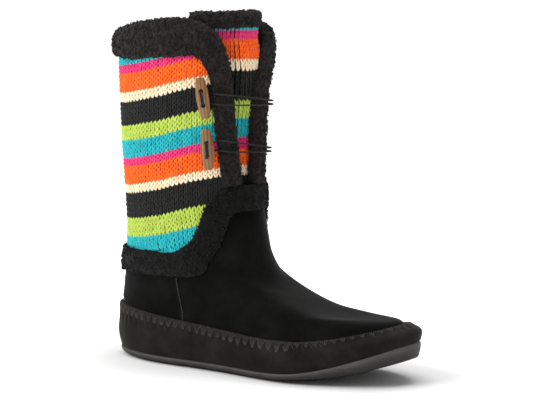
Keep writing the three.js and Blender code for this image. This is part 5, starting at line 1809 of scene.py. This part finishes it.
def build_stage():
    azimuth, elevation = math.radians(CAMERA_AZIMUTH), math.radians(CAMERA_ELEVATION)
    level = math.cos(elevation)
    back = Vector((math.sin(azimuth) * level, -math.cos(azimuth) * level, math.sin(elevation)))
    right = Vector((math.cos(azimuth), math.sin(azimuth), 0))
    up = Vector((0, 0, 1))
    target = Vector(CAMERA_TARGET)
    width, height = FRAME_SIZE
    camera = bpy.data.objects.new("camera", bpy.data.cameras.new("camera"))
    bpy.context.scene.collection.objects.link(camera)
    camera.data.sensor_width = SENSOR_WIDTH
    camera.data.lens = PIXELS_PER_MM * CAMERA_DISTANCE / MM * SENSOR_WIDTH / width
    camera.data.shift_x = (width / 2 - TARGET_PIXEL[0]) / width
    camera.data.shift_y = (TARGET_PIXEL[1] - height / 2) / width
    camera.location = target + back * CAMERA_DISTANCE
    camera.rotation_mode = "QUATERNION"
    camera.rotation_quaternion = (-back).to_track_quat("-Z", "Y")
    bpy.context.scene.camera = camera

    for name, nearer, aside, higher, size, watts in LAMPS:
        place = target + back * nearer + right * aside + up * higher
        lamp = bpy.data.lights.new(name, "AREA")
        lamp.shape, lamp.size, lamp.energy = "SQUARE", size, watts
        obj = bpy.data.objects.new(name, lamp)
        obj.location = place
        obj.rotation_mode = "QUATERNION"
        obj.rotation_quaternion = (target - place).to_track_quat("-Z", "Y")
        bpy.context.scene.collection.objects.link(obj)

    world = bpy.data.worlds.new("studio")
    world.use_nodes = True
    world.node_tree.nodes.clear()
    # The white backdrop is seen at full white, and lights the boot at half of it
    seen = add_node(world.node_tree, "ShaderNodeLightPath")
    strength = add_node(world.node_tree, "ShaderNodeMath", {
        0: seen.outputs["Is Camera Ray"], 1: 0.6, 2: WORLD_LIGHT}, operation="MULTIPLY_ADD")
    sky = add_node(world.node_tree, "ShaderNodeBackground", {
        "Color": (1, 1, 1, 1), "Strength": strength.outputs[0]})
    add_node(world.node_tree, "ShaderNodeOutputWorld", {"Surface": sky.outputs[0]})
    bpy.context.scene.world = world

    shape = bmesh.new()
    bmesh.ops.create_grid(shape, x_segments=1, y_segments=1, size=60)
    mesh = bpy.data.meshes.new("floor")
    shape.to_mesh(mesh)
    shape.free()
    finish, tree = new_finish("white paper floor")
    # The paper glows with painted light away from the boot, so that only the shadow close to the sole is dark
    place = add_node(tree, "ShaderNodeTexCoord")
    oval = add_node(tree, "ShaderNodeMapping", {
        "Vector": place.outputs["Object"], "Location": FLOOR_OVAL_PLACE, "Scale": FLOOR_OVAL_SCALE})
    away = add_node(tree, "ShaderNodeVectorMath", {0: oval.outputs[0]}, operation="LENGTH")
    glow = add_node(tree, "ShaderNodeMapRange", {
        "Value": away.outputs["Value"], "From Min": 0.9, "From Max": 2.6, "To Min": 0.0,
        "To Max": FLOOR_GLOW},
        interpolation_type="SMOOTHSTEP")
    shader = add_node(tree, "ShaderNodeBsdfPrincipled", {
        "Base Color": (0.8, 0.8, 0.8, 1), "Roughness": 1.0, "Specular IOR Level": 0.0,
        "Emission Color": (1, 1, 1, 1), "Emission Strength": glow.outputs[0]})
    close_finish(tree, shader)
    mesh.materials.append(finish)
    floor = bpy.data.objects.new("floor", mesh)
    floor.location.z = -0.0003
    bpy.context.scene.collection.objects.link(floor)
    bpy.context.scene.view_settings.view_transform = "Standard"


build_outsole()
build_insole()
build_suede_upper()
build_wrap()
build_whipstitch()
build_side_seams()
build_lining()
build_knit_shaft()
build_knit_gusset()
build_collar_fleece()
build_gusset_fleece()
build_hem_fleece()
for toggle_name, beside, height, lean, rise, fall in TOGGLES:
    build_toggle(toggle_name, beside, height, lean)
    build_loop(toggle_name, beside, height, rise, fall)
build_stage()
